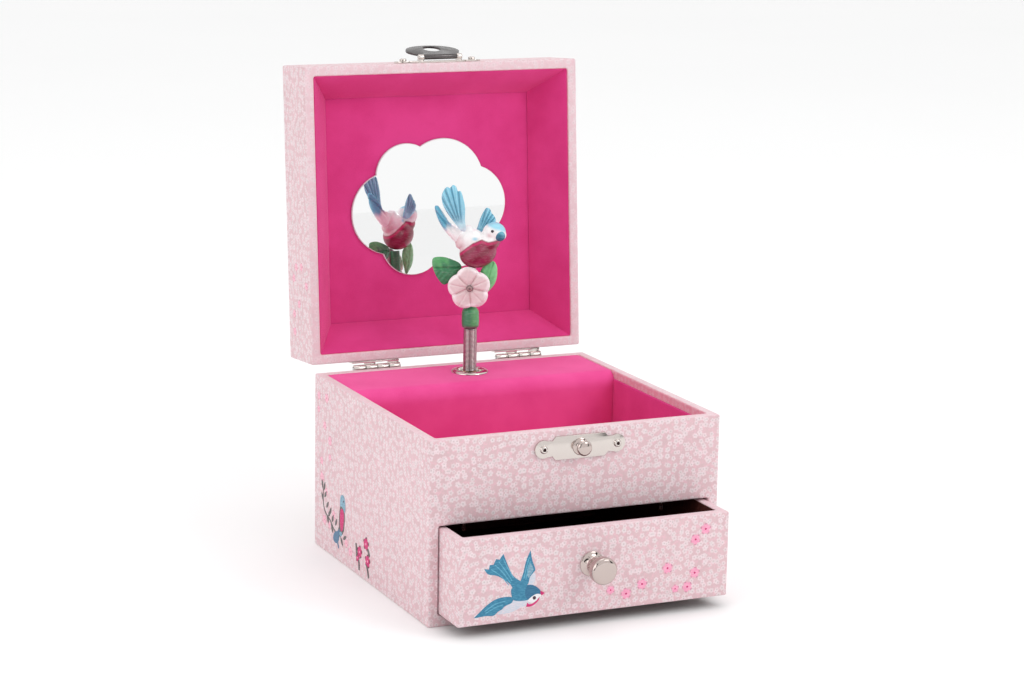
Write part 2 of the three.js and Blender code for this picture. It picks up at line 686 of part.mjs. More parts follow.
// The stop wire: a pin through the cover that the lid presses, and an arm out over the fan
function addStopWire() {
  const radius = 0.6;
  const armZ = 67.7;
  const [x, y] = STOP_PIN_AT;
  const pin = bar([x, y, armZ - radius], [x, y, 73.5], STOP_PIN_R, 10);
  const arm = bar([x, y, armZ], [WORM_X + 2, y - 2, armZ], radius, 8);
  put(object, 'stop_wire', join(pin, arm), STEEL);
}

// ---- Coil-spring shaft and figure ---------------------------------------------------------
// The spring is a plain tube here, in two lengths that bend one after the other
function addSpringShaft() {
  const lowTop = BEND_HIGH - SPRING_R - GAP;
  const tube = (from, to) => bar([0, SHAFT_Y, from], [0, SHAFT_Y, to], SPRING_R, 14);
  const ball = (z) => ellipsoid(SPRING_R, SPRING_R, SPRING_R, 14, 8).translate(0, SHAFT_Y, z);
  put(object, 'spring_shaft_lower', join(ball(BEND_LOW), tube(BEND_LOW, lowTop)), CHROME);
  const upper = join(ball(BEND_HIGH), tube(BEND_HIGH, FIGURE_Z - GAP));
  put(object, 'spring_shaft_upper', upper, CHROME);
}

// Ellipsoid tipped in the figure's own plane: x to its right, z up, y away from its front
function lobe([x, y, z], [a, b, c], tip, grow = 0, wide = 14, high = 8) {
  const shape = ellipsoid(a + grow, b + grow, c + grow, wide, high);
  return shape.rotateY(-tip * DEG).translate(x, y, z);
}

const FLOWER_Z = 106;
const BODY = [[4.9, 0, 120.4], [8.6, 6, 6.4], 14];
const HEAD = [[10.4, -0.4, 128.4], [4.5, 4.2, 4.3], 0];

function flowerPieces(grow) {
  const out = 4.7; // petal middle to flower middle
  const pieces = [lobe([0, -2.9, FLOWER_Z], [4, 1.3, 4], 0, grow, 10, 6)];
  for (let i = 0; i < 5; i += 1) {
    const tip = 90 + i * 72;
    const at = [out * Math.cos(tip * DEG), -3, FLOWER_Z + out * Math.sin(tip * DEG)];
    pieces.push(lobe(at, [4.1, 1.4, 3.9], tip, grow, 12, 6));
  }
  return pieces;
}

function addFigure() {
  const figure = new THREE.Group();
  figure.position.y = SHAFT_Y;
  figure.rotation.z = FIGURE_TURN * DEG;
  object.add(figure);

  put(figure, 'flower', join(...flowerPieces(0)), PETAL);

  const stem = bar([0, 0, FIGURE_Z], [0, 0, 97.1], 3.4, 18);
  const stalk = bar([0, 0.4, 96.5], [0, 0.4, 113], 2, 14);
  const leafLeft = lobe([-8.4, 0.9, 112.8], [7.2, 1, 4.3], 160);
  const leafRight = lobe([7.2, 0.9, 110.2], [6.6, 1, 3.2], 62);
  const bodyRoom = lobe(...BODY, GAP);
  const footLeft = bar([0, 0.8, 108], [-5, 0.9, 111.5], 1, 10);
  const footRight = bar([0, 0.8, 102], [6, 0.9, 107.5], 1, 10);
  const leaves = join(stem, stalk, footLeft, leafLeft, footRight, leafRight);
  const green = cut(leaves, bodyRoom, ...flowerPieces(GAP));
  put(figure, 'stem_and_leaves', green, LEAF_GREEN);

  put(figure, 'bird_body', join(lobe(...BODY), lobe(...HEAD), beak()), BIRD_RED);
  const rooms = [bodyRoom, lobe(...HEAD, GAP)];
  const tail = lobe([-6.6, 0.4, 131], [9.6, 2.4, 2.7], 126);
  put(figure, 'bird_tail', cut(tail, ...rooms), BIRD_BLUE);
  const nearWing = lobe([-3.6, -4.4, 137], [11, 1.3, 4.6], 108);
  put(figure, 'bird_wing_right', cut(nearWing, ...rooms), BIRD_BLUE);
  const farWing = lobe([4.5, 4.6, 132.4], [8.6, 1.3, 4.4], 70);
  put(figure, 'bird_wing_left', cut(farWing, ...rooms), BIRD_BLUE);
}

function beak() {
  return lobe([13.2, -0.8, 127.2], [2, 1.9, 1.9], 0, 0, 12, 8);
}

addCarcass();
addTrayLining();
addMovementCover();
addGrommet();
addCatch();
addDrawerStops();
addLid();
addDrawer();
addBedplate();
addComb();
addSpringHousing();
addMainspring();
addGreatWheel();
addKey();
addSpindle();
addCylinder();
addGovernor();
addStopWire();
addSpringShaft();
addFigure();

export default object;
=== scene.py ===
"""Looks for the musical jewellery box: papered box and lid, drawer, lining, metalwork, bird and prints.

Lengths are written in millimetres in the frame of the CAD model and turned into metres where a mesh is made.
Pieces of the lid are drawn with the lid shut and then turned open about the hinge line.
"""

import json
import math
from contextlib import contextmanager

import bmesh
import bpy
from mathutils import Matrix, Quaternion, Vector

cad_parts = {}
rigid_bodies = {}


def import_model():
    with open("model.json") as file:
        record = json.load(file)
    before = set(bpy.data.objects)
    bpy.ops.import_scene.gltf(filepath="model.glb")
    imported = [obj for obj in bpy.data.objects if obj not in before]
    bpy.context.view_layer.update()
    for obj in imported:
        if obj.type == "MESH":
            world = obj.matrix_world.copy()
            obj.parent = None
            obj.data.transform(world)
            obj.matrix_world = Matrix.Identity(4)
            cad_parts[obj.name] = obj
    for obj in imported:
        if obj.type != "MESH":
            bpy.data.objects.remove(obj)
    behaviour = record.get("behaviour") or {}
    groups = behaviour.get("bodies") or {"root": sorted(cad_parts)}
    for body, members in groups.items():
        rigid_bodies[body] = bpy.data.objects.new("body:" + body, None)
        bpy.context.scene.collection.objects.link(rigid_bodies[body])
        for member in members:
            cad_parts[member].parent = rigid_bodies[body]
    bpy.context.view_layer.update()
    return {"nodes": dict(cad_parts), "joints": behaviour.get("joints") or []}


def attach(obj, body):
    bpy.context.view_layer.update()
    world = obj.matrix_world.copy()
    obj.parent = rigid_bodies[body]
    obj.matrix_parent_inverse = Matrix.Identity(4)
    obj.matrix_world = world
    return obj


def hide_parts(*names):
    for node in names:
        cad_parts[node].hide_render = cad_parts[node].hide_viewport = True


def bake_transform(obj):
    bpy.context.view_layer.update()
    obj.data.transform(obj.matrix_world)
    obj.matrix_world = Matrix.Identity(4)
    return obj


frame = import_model()
MM = 0.001
SCENE = bpy.context.scene

HALF = 60          # half the box's width and depth
INNER = 56         # half the room inside its boards
BASE_TOP = 71      # the top of the base's rim
LID_LOW = 71.3     # the shut lid's rim
LID_TOP = 97.3     # the shut lid's top
SHAFT_Y = 41.7     # the upright line that the figure turns about, at x = 0
DRAWER_FRONT_Y = -77.375


# ---- Camera, light and floor ----------------------------------------------------------------
def add_camera():
    eye = Vector((-430.2, -938.1, 310.8)) * MM
    target = Vector((-0.41, 0, 91.81)) * MM
    camera = bpy.data.cameras.new("camera")
    camera.lens = 95.0
    camera.sensor_width = 36.0
    camera.clip_start, camera.clip_end = 0.05, 50
    o = bpy.data.objects.new("camera", camera)
    o.rotation_mode = "QUATERNION"
    o.location = eye
    roll = Quaternion((0, 0, 1), math.radians(1.0))
    o.rotation_quaternion = (target - eye).to_track_quat("-Z", "Y") @ roll
    SCENE.collection.objects.link(o)
    SCENE.camera = o


def area_light(name, at, size, power):
    light = bpy.data.lights.new(name, "AREA")
    light.shape = "DISK"
    light.size = size
    light.energy = power
    o = bpy.data.objects.new(name, light)
    o.location = at
    o.rotation_mode = "QUATERNION"
    o.rotation_quaternion = (Vector((0, 0, 0.09)) - Vector(at)).to_track_quat("-Z", "Y")
    SCENE.collection.objects.link(o)


# Dark cards beside the camera, which give the polished metal something to mirror:
# the middle and half width of each across the view, and its lowest and highest level
CARDS = ((-0.46, 0.15, -0.1, 0.75), (0.66, 0.07, -0.1, 0.6), (-0.12, 0.05, 0.5, 0.85),
         (-0.87, 0.05, -0.1, 0.4), (0.9, 0.04, -0.1, 0.3))
WORLD_LIGHT = 1.0
CARD_DARKNESS = 0.96


def add_world():
    """A white studio with a few dark cards in front of the object, out of view."""
    world = bpy.data.worlds.new("studio")
    world.use_nodes = True
    SCENE.world = world
    tree = world.node_tree
    tree.nodes.clear()
    out = tree.nodes.new("ShaderNodeOutputWorld")
    back = tree.nodes.new("ShaderNodeBackground")
    where = tree.nodes.new("ShaderNodeTexCoord")
    split = tree.nodes.new("ShaderNodeSeparateXYZ")
    tree.links.new(where.outputs["Generated"], split.inputs[0])
    x, y, z = split.outputs

    def math_node(operation, a, b=0.0, clamp=False):
        node = tree.nodes.new("ShaderNodeMath")
        node.operation = operation
        node.use_clamp = clamp
        for socket, value in zip(node.inputs, (a, b)):
            if isinstance(value, bpy.types.NodeSocket):
                tree.links.new(value, socket)
            else:
                socket.default_value = value
        return node.outputs[0]

    def within(value, middle, half):
        away = math_node("ABSOLUTE", math_node("SUBTRACT", value, middle))
        return math_node("MULTIPLY", math_node("SUBTRACT", half, away), 30.0, clamp=True)

    light = 1.0
    front = math_node("MULTIPLY", y, -8.0, clamp=True)
    for middle, half, low, high in CARDS:
        card = math_node("MULTIPLY", within(x, middle, half), within(z, (low + high) / 2, (high - low) / 2))
        card = math_node("MULTIPLY", card, front)
        light = math_node("SUBTRACT", light, math_node("MULTIPLY", card, CARD_DARKNESS), clamp=True)
    tree.links.new(math_node("MULTIPLY", light, WORLD_LIGHT), back.inputs[1])
    tree.links.new(back.outputs[0], out.inputs[0])
    back.inputs[0].default_value = (1, 1, 1, 1)


def add_studio():
    SCENE.view_settings.view_transform = "Standard"
    SCENE.view_settings.look = "None"
    add_world()
    area_light("key", (0.75, -0.95, 0.95), 0.7, 4.2)
    area_light("fill", (-1.2, -0.35, 0.6), 1.0, 2.6)
    area_light("top", (0.1, 0.1, 1.5), 0.8, 1.5)
    half = 9.0
    corners = [(-half, -half, 0), (half, -half, 0), (half, half, 0), (-half, half, 0)]
    mesh = bpy.data.meshes.new("floor")
    mesh.from_pydata(corners, [], [(0, 1, 2, 3)])
    floor = bpy.data.objects.new("floor", mesh)
    SCENE.collection.objects.link(floor)
    g = Graph("floor", roughness=0.9, specular=0.1)
    tone = g.noise(g.objects(), 3.0)
    g.colour(g.mix(tone, (0.995, 0.995, 0.995), (0.975, 0.975, 0.975)))
    mesh.materials.append(g.material)


# ---- Materials ------------------------------------------------------------------------------
def srgb(r, g, b):
    """A colour given in 0 to 255 as a display shows it, as linear light."""
    def one(c):
        c /= 255
        return c / 12.92 if c <= 0.04045 else ((c + 0.055) / 1.055) ** 2.4
    return (one(r), one(g), one(b))


class Graph:
    """A material with one Principled shader, and short names for the nodes that feed it."""

    def __init__(self, name, roughness=0.5, specular=0.5, metallic=0.0, **fixed):
        self.material = bpy.data.materials.new(name)
        self.material.use_nodes = True
        self.tree = self.material.node_tree
        self.tree.nodes.clear()
        self.shader = self.tree.nodes.new("ShaderNodeBsdfPrincipled")
        out = self.tree.nodes.new("ShaderNodeOutputMaterial")
        self.tree.links.new(self.shader.outputs[0], out.inputs[0])
        self.set("Roughness", roughness)
        self.set("Specular IOR Level", specular)
        self.set("Metallic", metallic)
        for key, value in fixed.items():
            self.set(key.replace("_", " "), value)

    def set(self, socket, value):
        if isinstance(value, bpy.types.NodeSocket):
            self.tree.links.new(value, self.shader.inputs[socket])
        elif isinstance(value, tuple) and len(value) == 3:
            self.shader.inputs[socket].default_value = (*value, 1)
        else:
            self.shader.inputs[socket].default_value = value
        return self

    def colour(self, value):
        return self.set("Base Color", value)

    def feed(self, node, index, value):
        if isinstance(value, bpy.types.NodeSocket):
            self.tree.links.new(value, node.inputs[index])
        elif isinstance(value, tuple) and node.inputs[index].type == "RGBA":
            node.inputs[index].default_value = (*value, 1)
        else:
            node.inputs[index].default_value = value

    def math(self, operation, a, b=0.0, c=0.0, clamp=False):
        node = self.tree.nodes.new("ShaderNodeMath")
        node.operation = operation
        node.use_clamp = clamp
        for i, value in enumerate((a, b, c)):
            self.feed(node, i, value)
        return node.outputs[0]

    def vector(self, operation, a, b=(0, 0, 0), scale=1.0):
        node = self.tree.nodes.new("ShaderNodeVectorMath")
        node.operation = operation
        self.feed(node, 0, a)
        if operation == "SCALE":
            self.feed(node, 3, scale)
        else:
            self.feed(node, 1, b)
        return node.outputs[0]

    def mix(self, share, a, b):
        node = self.tree.nodes.new("ShaderNodeMix")
        node.data_type = "RGBA"
        self.feed(node, 0, share)
        self.feed(node, 6, a)
        self.feed(node, 7, b)
        return node.outputs[2]

    def ramp(self, value, *stops):
        node = self.tree.nodes.new("ShaderNodeValToRGB")
        elements = node.color_ramp.elements
        while len(elements) < len(stops):
            elements.new(0.5)
        for element, (position, shade) in zip(elements, stops):
            element.position = position
            element.color = (*shade, 1) if isinstance(shade, tuple) else (shade,) * 3 + (1,)
        self.feed(node, 0, value)
        return node.outputs[0]

    def objects(self):
        return self.tree.nodes.new("ShaderNodeTexCoord").outputs["Object"]

    def print_map(self):
        node = self.tree.nodes.new("ShaderNodeUVMap")
        node.uv_map = "print"
        return node.outputs[0]

    def paint_map(self):
        node = self.tree.nodes.new("ShaderNodeVertexColor")
        node.layer_name = "paint"
        return node.outputs[0]

    def noise(self, where, scale, detail=3.0, rough=0.5):
        node = self.tree.nodes.new("ShaderNodeTexNoise")
        self.feed(node, "Vector", where)
        for key, value in (("Scale", scale), ("Detail", detail), ("Roughness", rough)):
            node.inputs[key].default_value = value
        return node.outputs["Fac"]

    def stretch(self, where, x, y, z):
        return self.vector("MULTIPLY", where, (x, y, z))

    def bump(self, height, depth, strength=1.0):
        """depth is the height of the relief in metres."""
        node = self.tree.nodes.new("ShaderNodeBump")
        node.inputs["Strength"].default_value = strength
        node.inputs["Distance"].default_value = depth
        self.feed(node, "Height", height)
        self.tree.links.new(node.outputs[0], self.shader.inputs["Normal"])
        return self


def blossoms(g, where, cell, size):
    """Masks of five-petalled blossoms, one to a cell: their petals, their centres and a shade each."""
    v = g.vector("SCALE", where, scale=1 / cell)
    cells = g.tree.nodes.new("ShaderNodeTexVoronoi")
    cells.voronoi_dimensions = "2D"
    cells.inputs["Scale"].default_value = 1.0
    cells.inputs["Randomness"].default_value = 0.78
    g.feed(cells, "Vector", v)
    away = g.vector("SUBTRACT", v, cells.outputs["Position"])
    parts = g.tree.nodes.new("ShaderNodeSeparateXYZ")
    g.feed(parts, 0, away)
    chance = g.tree.nodes.new("ShaderNodeSeparateColor")
    g.feed(chance, 0, cells.outputs["Color"])
    turn = g.math("MULTIPLY", chance.outputs[0], 6.283)
    angle = g.math("ADD", g.math("ARCTAN2", parts.outputs[1], parts.outputs[0]), turn)
    wave = g.math("ABSOLUTE", g.math("COSINE", g.math("MULTIPLY", angle, 5 / 2)))
    grow = g.math("MULTIPLY_ADD", chance.outputs[1], 0.35, 0.75)
    edge = g.math("MULTIPLY", g.math("MULTIPLY_ADD", wave, 0.32 * size, 0.68 * size), grow)
    distance = cells.outputs["Distance"]
    soft = g.math("DIVIDE", g.math("SUBTRACT", edge, distance), 0.06)
    inside = g.math("ADD", soft, 0.5, clamp=True)
    middle = g.math("ADD", g.math("DIVIDE", g.math("SUBTRACT", 0.27 * size, distance), 0.05), 0.5,
                    clamp=True)
    return inside, middle, chance.outputs[2]


def paper(name, ground, printed=1.0):
    """Pale pink paper printed all over with tiny white blossoms, glued on board."""
    g = Graph(name, roughness=0.62, specular=0.28)
    where = g.print_map()
    cloud = g.noise(where, 0.09, 2)
    base = g.mix(g.ramp(cloud, (0.35, 0.0), (0.68, 1.0)), ground, tuple(c * 0.93 for c in ground))
    sprig = g.noise(where, 0.72, 2, 0.6)
    base = g.mix(g.math("MULTIPLY", g.ramp(sprig, (0.5, 0.0), (0.62, 1.0)), 0.5 * printed),
                 base, srgb(236, 188, 200))
    shade = g.noise(g.vector("ADD", where, (37.0, 11.0, 0)), 0.55, 2, 0.6)
    base = g.mix(g.math("MULTIPLY", g.ramp(shade, (0.54, 0.0), (0.66, 1.0)), 0.4 * printed),
                 base, srgb(208, 180, 184))
    for cell, size, offset, strength in ((2.7, 0.42, (0, 0, 0), 0.62), (3.5, 0.31, (5.3, 8.1, 0), 0.5)):
        petal, middle, shade = blossoms(g, g.vector("ADD", where, offset), cell, size)
        white = g.mix(shade, srgb(242, 226, 230), srgb(230, 220, 222))
        base = g.mix(g.math("MULTIPLY", petal, strength * printed), base, white)
        base = g.mix(g.math("MULTIPLY", middle, 0.45 * printed), base, srgb(178, 162, 164))
    fibre = g.noise(g.objects(), 2600, 2, 0.6)
    g.colour(g.mix(g.math("MULTIPLY", fibre, 0.10), base, (0.72, 0.6, 0.62)))
    g.set("Roughness", g.math("MULTIPLY_ADD", fibre, 0.2, 0.5))
    g.bump(g.noise(g.objects(), 900, 3, 0.6), 0.00004)
    return g.material


def flock(name, shade, dark):
    """Short velvety flock: fine fibres that catch the light at the edges."""
    g = Graph(name, roughness=0.95, specular=0.12, Sheen_Weight=0.55, Sheen_Roughness=0.35,
              Sheen_Tint=(1.0, 0.42, 0.68, 1.0))
    where = g.objects()
    fibre = g.noise(where, 5200, 2, 0.7)
    nap = g.noise(where, 46, 3, 0.55)
    tone = g.mix(g.ramp(nap, (0.38, 0.0), (0.66, 1.0)), shade, dark)
    g.colour(g.mix(g.math("MULTIPLY", g.ramp(fibre, (0.35, 0.0), (0.7, 1.0)), 0.30), tone,
                   tuple(min(1.0, c * 1.35 + 0.01) for c in shade)))
    g.bump(g.math("ADD", fibre, g.math("MULTIPLY", nap, 0.6)), 0.00009, 0.8)
    return g.material


def board(name, shade, light):
    """Dark stained board inside the drawer, with faint fibres and scuffs."""
    g = Graph(name, roughness=0.75, specular=0.2)
    where = g.objects()
    grain = g.noise(g.stretch(where, 90, 900, 900), 1.0, 4, 0.6)
    scuff = g.noise(where, 160, 4, 0.7)
    tone = g.mix(g.ramp(grain, (0.35, 0.0), (0.7, 1.0)), shade, light)
    g.colour(g.mix(g.math("MULTIPLY", g.ramp(scuff, (0.62, 0.0), (0.75, 1.0)), 0.3), tone, light))
    g.bump(grain, 0.00006)
    return g.material


def metal(name, shade, roughness, grain=0.0, tint=0.08):
    """Plated or turned metal: faint wipe marks in the gloss, and a little tarnish."""
    g = Graph(name, metallic=1.0, roughness=roughness)
    where = g.objects()
    smear = g.noise(where, 420, 3, 0.6)
    tarnish = g.noise(where, 130, 4, 0.6)
    g.colour(g.mix(g.math("MULTIPLY", tarnish, tint * 2), shade, tuple(c * 0.72 for c in shade)))
    g.set("Roughness", g.math("MULTIPLY_ADD", smear, roughness * 0.9, roughness * 0.55))
    if grain:
        g.bump(g.noise(g.stretch(where, 300, 300, 6000), 1.0, 2), grain)
    return g.material


def glaze(name, shade=None, vary=0.12, roughness=0.32):
    """Brush-painted resin. Without a shade it takes the colours painted on the mesh."""
    g = Graph(name, roughness=roughness, specular=0.5, Coat_Weight=0.25, Coat_Roughness=0.2)
    where = g.objects()
    stroke = g.noise(g.stretch(where, 500, 500, 1500), 1.0, 3, 0.6)
    blot = g.noise(where, 520, 3, 0.6)
    base = g.paint_map() if shade is None else shade
    dark = g.mix(0.55, base, (0.05, 0.03, 0.05)) if shade is None else tuple(c * 0.55 for c in shade)
    pale = g.mix(0.35, base, (1, 1, 1)) if shade is None else tuple(min(1, c * 1.3 + 0.03) for c in shade)
    base = g.mix(g.math("MULTIPLY", g.ramp(blot, (0.5, 0.0), (0.78, 1.0)), vary * 2), base, dark)
    g.colour(g.mix(g.math("MULTIPLY", g.ramp(stroke, (0.5, 0.0), (0.75, 1.0)), vary * 2), base, pale))
    g.set("Roughness", g.math("MULTIPLY_ADD", stroke, 0.22, roughness - 0.08))
    g.bump(stroke, 0.00005)
    return g.material


def ink(name, shade, light=None):
    """Flat printed ink with fine streaks of a second tone."""
    g = Graph(name, roughness=0.55, specular=0.3)
    where = g.objects()
    streak = g.noise(g.stretch(where, 700, 700, 2400), 1.0, 3, 0.55)
    light = light or tuple(min(1.0, c * 1.25 + 0.02) for c in shade)
    g.colour(g.mix(g.ramp(streak, (0.44, 0.0), (0.6, 1.0)), shade, light))
    g.bump(g.noise(where, 1500, 2), 0.00002)
    return g.material


def mirror(name):
    g = Graph(name, metallic=1.0, roughness=0.015)
    dust = g.noise(g.objects(), 900, 4, 0.7)
    g.colour(g.mix(g.math("MULTIPLY", dust, 0.06), (0.955, 0.96, 0.96), (0.86, 0.87, 0.88)))
    g.set("Roughness", g.math("MULTIPLY_ADD", dust, 0.02, 0.0))
    return g.material


PAPER = paper("printed_paper", srgb(221, 188, 193))
# Painted highlight: a paler copy of the printed paper, with half its print, for the rim edges, standing in
# for the light they catch.
PAPER_RIM_LIT = paper("paper_rim_lit", srgb(230, 200, 206), 0.5)
# The paper turned over inside the rims is the same paper; its pinker, darker colour is painted shade and
# painted magenta reflection from the lining.
PAPER_TURNED_SHADED = paper("paper_turned_over_shaded", srgb(226, 158, 172), 0.35)
BOARD_DARK = board("dark_board", srgb(66, 26, 22), srgb(90, 44, 37))
FLOCK = flock("lining_flock", srgb(219, 68, 138), srgb(207, 56, 124))
# Painted light: a brighter copy of the same lining flock, for the movement cover that faces the light.
FLOCK_LIT = flock("lining_flock_lit", srgb(240, 87, 157), srgb(230, 73, 143))
CHROME = metal("chrome", (0.57, 0.48, 0.45), 0.07)
NICKEL = metal("nickel_plate", (0.67, 0.61, 0.575), 0.17)
# Painted reflection: the hasp flap is nickel like the other plates, darkened to stand for the dark reflection
# it shows.
NICKEL_PAINTED_DARK = metal("nickel_painted_dark_reflection", (0.12, 0.11, 0.11), 0.28)
STEEL = metal("steel_wire", (0.62, 0.62, 0.63), 0.26, 0.00002)
BRASS = metal("brass", (0.80, 0.60, 0.27), 0.24, 0.00001, 0.2)
# Painted shadow: near black for the shade inside the hollow of the rivet heads.
SHADOW = metal("painted_shadow_recess", (0.05, 0.03, 0.03), 0.6)
STEEL_COIL = metal("spring_wire", (0.56, 0.48, 0.48), 0.16)
MIRROR = mirror("mirror_glass")
MIRROR_EDGE = glaze("mirror_edge", srgb(226, 232, 232), 0.05, 0.12)


# ---- Mesh helpers ---------------------------------------------------------------------------
def mesh_object(name, verts, faces, materials, indices=None, smooth=True):
    mesh = bpy.data.meshes.new(name)
    mesh.from_pydata([tuple(c * MM for c in v) for v in verts], [], faces)
    o = bpy.data.objects.new(name, mesh)
    for m in materials:
        mesh.materials.append(m)
    if indices is not None:
        mesh.polygons.foreach_set("material_index", indices)
    mesh.polygons.foreach_set("use_smooth", [smooth] * len(mesh.polygons))
    mesh.validate()
    outward(mesh)
    SCENE.collection.objects.link(o)
    return o


@contextmanager
def editing(mesh):
    """The mesh opened as a bmesh, and written back at the end."""
    bm = bmesh.new()
    bm.from_mesh(mesh)
    yield bm
    bm.to_mesh(mesh)
    bm.free()


def outward(mesh):
    with editing(mesh) as bm:
        bmesh.ops.recalc_face_normals(bm, faces=bm.faces)


def shade_smoothly(o, angle):
    """Smooth shading, but sharp where faces meet at more than angle degrees."""
    o.data.polygons.foreach_set("use_smooth", [True] * len(o.data.polygons))
    o.data.set_sharp_from_angle(angle=math.radians(angle))


def slice_across(bm, axis, at):
    """Cuts through every face at the height at, in millimetres, along an axis."""
    point, normal = [0, 0, 0], [0, 0, 0]
    point[axis], normal[axis] = at * MM, 1
    bmesh.ops.bisect_plane(bm, geom=bm.verts[:] + bm.edges[:] + bm.faces[:], plane_co=point,
                           plane_no=normal)


def block(name, low, high, material):
    x0, y0, z0 = low
    x1, y1, z1 = high
    verts = [(x0, y0, z0), (x1, y0, z0), (x1, y1, z0), (x0, y1, z0),
             (x0, y0, z1), (x1, y0, z1), (x1, y1, z1), (x0, y1, z1)]
    faces = [(0, 3, 2, 1), (4, 5, 6, 7), (0, 1, 5, 4), (1, 2, 6, 5), (2, 3, 7, 6), (3, 0, 4, 7)]
    return mesh_object(name, verts, faces, [material], smooth=False)


def realise(o):
    """The result of the modifiers becomes the mesh."""
    bpy.context.view_layer.update()
    graph = bpy.context.evaluated_depsgraph_get()
    mesh = bpy.data.meshes.new_from_object(o.evaluated_get(graph), preserve_all_data_layers=True,
                                           depsgraph=graph)
    o.modifiers.clear()
    o.data = mesh
    return o


def carve(o, *tools):
    """o with the tools cut away."""
    for t in tools:
        m = o.modifiers.new("cut", "BOOLEAN")
        m.operation = "DIFFERENCE"
        m.solver = "EXACT"
        m.object = t
    realise(o)
    for t in tools:
        bpy.data.objects.remove(t)
    return o


def soften(o, width, segments=3, angle=35, smooth=40):
    """Rounds the edges of o by width, in millimetres, and shades it smoothly up to an angle."""
    m = o.modifiers.new("round", "BEVEL")
    m.width = width * MM
    m.segments = segments
    m.limit_method = "ANGLE"
    m.angle_limit = math.radians(angle)
    m.use_clamp_overlap = True
    m.miter_outer = "MITER_ARC"
    realise(o)
    shade_smoothly(o, smooth)
    return o


def lay_print(o):
    """Maps the printed paper flat on to each side of o, in millimetres."""
    uv = o.data.uv_layers.new(name="print")
    for face in o.data.polygons:
        n = [abs(c) for c in face.normal]
        axis = n.index(max(n))
        for loop in face.loop_indices:
            co = o.data.vertices[o.data.loops[loop].vertex_index].co / MM
            a, b = [co[i] for i in range(3) if i != axis]
            uv.data[loop].uv = (a + 217 * axis, b + 91 * axis)
    return o


def cylinder(name, a, b, radius, sides=48):
    a, b = Vector(a), Vector(b)
    along = (b - a).normalized()
    side = along.orthogonal().normalized()
    other = along.cross(side)
    ring = [side * math.cos(t) + other * math.sin(t)
            for t in (2 * math.pi * i / sides for i in range(sides))]
    verts = [a + r * radius for r in ring] + [b + r * radius for r in ring]
    faces = [(i, (i + 1) % sides, sides + (i + 1) % sides, sides + i) for i in range(sides)]
    faces += [tuple(range(sides)), tuple(range(sides, 2 * sides))]
    return mesh_object(name, [tuple(v) for v in verts], faces, [SHADOW], smooth=False)


def lathe(name, profile, material, origin, axis, sides=72):
    """A turned piece: (radius, height) pairs about axis from origin. Ends with radius 0 are closed."""
    along = Vector(axis).normalized()
    side = along.orthogonal().normalized()
    other = along.cross(side)
    verts, rows = [], []
    for r, h in profile:
        centre = Vector(origin) + along * h
        if r < 1e-6:
            rows.append([len(verts)])
            verts.append(tuple(centre))
            continue
        rows.append(list(range(len(verts), len(verts) + sides)))
        for i in range(sides):
            t = 2 * math.pi * i / sides
            verts.append(tuple(centre + (side * math.cos(t) + other * math.sin(t)) * r))
    faces = []
    for low, high in zip(rows, rows[1:]):
        for i in range(sides):
            j = (i + 1) % sides
            if len(low) == 1:
                faces.append((low[0], high[j], high[i]))
            elif len(high) == 1:
                faces.append((low[i], low[j], high[0]))
            else:
                faces.append((low[i], low[j], high[j], high[i]))
    o = mesh_object(name, verts, faces, [material])
    weld(o)
    o.data.set_sharp_from_angle(angle=math.radians(50))
    return o


WELD = 0.002


def weld(o):
    with editing(o.data) as bm:
        bmesh.ops.remove_doubles(bm, verts=bm.verts, dist=WELD * MM)
        bmesh.ops.recalc_face_normals(bm, faces=bm.faces)
    return o


def rounded(points, steps=8):
    """A turned profile with its corners drawn as smooth curves."""
    pts = [Vector(p) for p in points]
    out = []
    for i in range(len(pts) - 1):
        p0, p1 = pts[max(i - 1, 0)], pts[i]
        p2, p3 = pts[i + 1], pts[min(i + 2, len(pts) - 1)]
        for k in range(steps):
            t = k / steps
            v = 0.5 * (2 * p1 + (p2 - p0) * t + (2 * p0 - 5 * p1 + 4 * p2 - p3) * t * t
                       + (3 * p1 - p0 - 3 * p2 + p3) * t ** 3)
            out.append((max(0.0, v.x), v.y))
    out.append(tuple(pts[-1]))
    return out


def loop_curve(points, count, sharp=()):
    """A closed smooth curve through points, with corners at the indices in sharp."""
    n = len(points)
    per = max(2, count // n)
    out = []
    for i in range(n):
        p0, p1, p2, p3 = (Vector(points[(i + k) % n]) for k in (-1, 0, 1, 2))
        m1 = Vector((0, 0)) if i % n in sharp else (p2 - p0) / 2
        m2 = Vector((0, 0)) if (i + 1) % n in sharp else (p3 - p1) / 2
        for k in range(per):
            t = k / per
            h = (2 * t ** 3 - 3 * t * t + 1, t ** 3 - 2 * t * t + t, -2 * t ** 3 + 3 * t * t, t ** 3 - t * t)
            out.append(p1 * h[0] + m1 * h[1] + p2 * h[2] + m2 * h[3])
    return out


def joint_named(name):
    return next(j for j in frame["joints"] if j["name"] == name)


def lid_open():
    """Turns what is drawn with the lid shut to the way it stands at rest."""
    joint = joint_named("lid_hinge")
    pivot = Vector(joint["pos_m"])
    turn = Matrix.Rotation(-math.radians(joint["range_deg"][1]), 4, "X")
    return Matrix.Translation(pivot) @ turn @ Matrix.Translation(-pivot)


LID_OPEN = lid_open()


def place(o, body, slot=None, *nodes, lid=False):
    """Turns o open with the lid if asked, fixes it to the body it rides on and hides the nodes it stands for.
    slot is not used.
    """
    if lid:
        o.data.transform(LID_OPEN)
    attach(o, body)
    if nodes:
        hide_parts(*nodes)
    return o


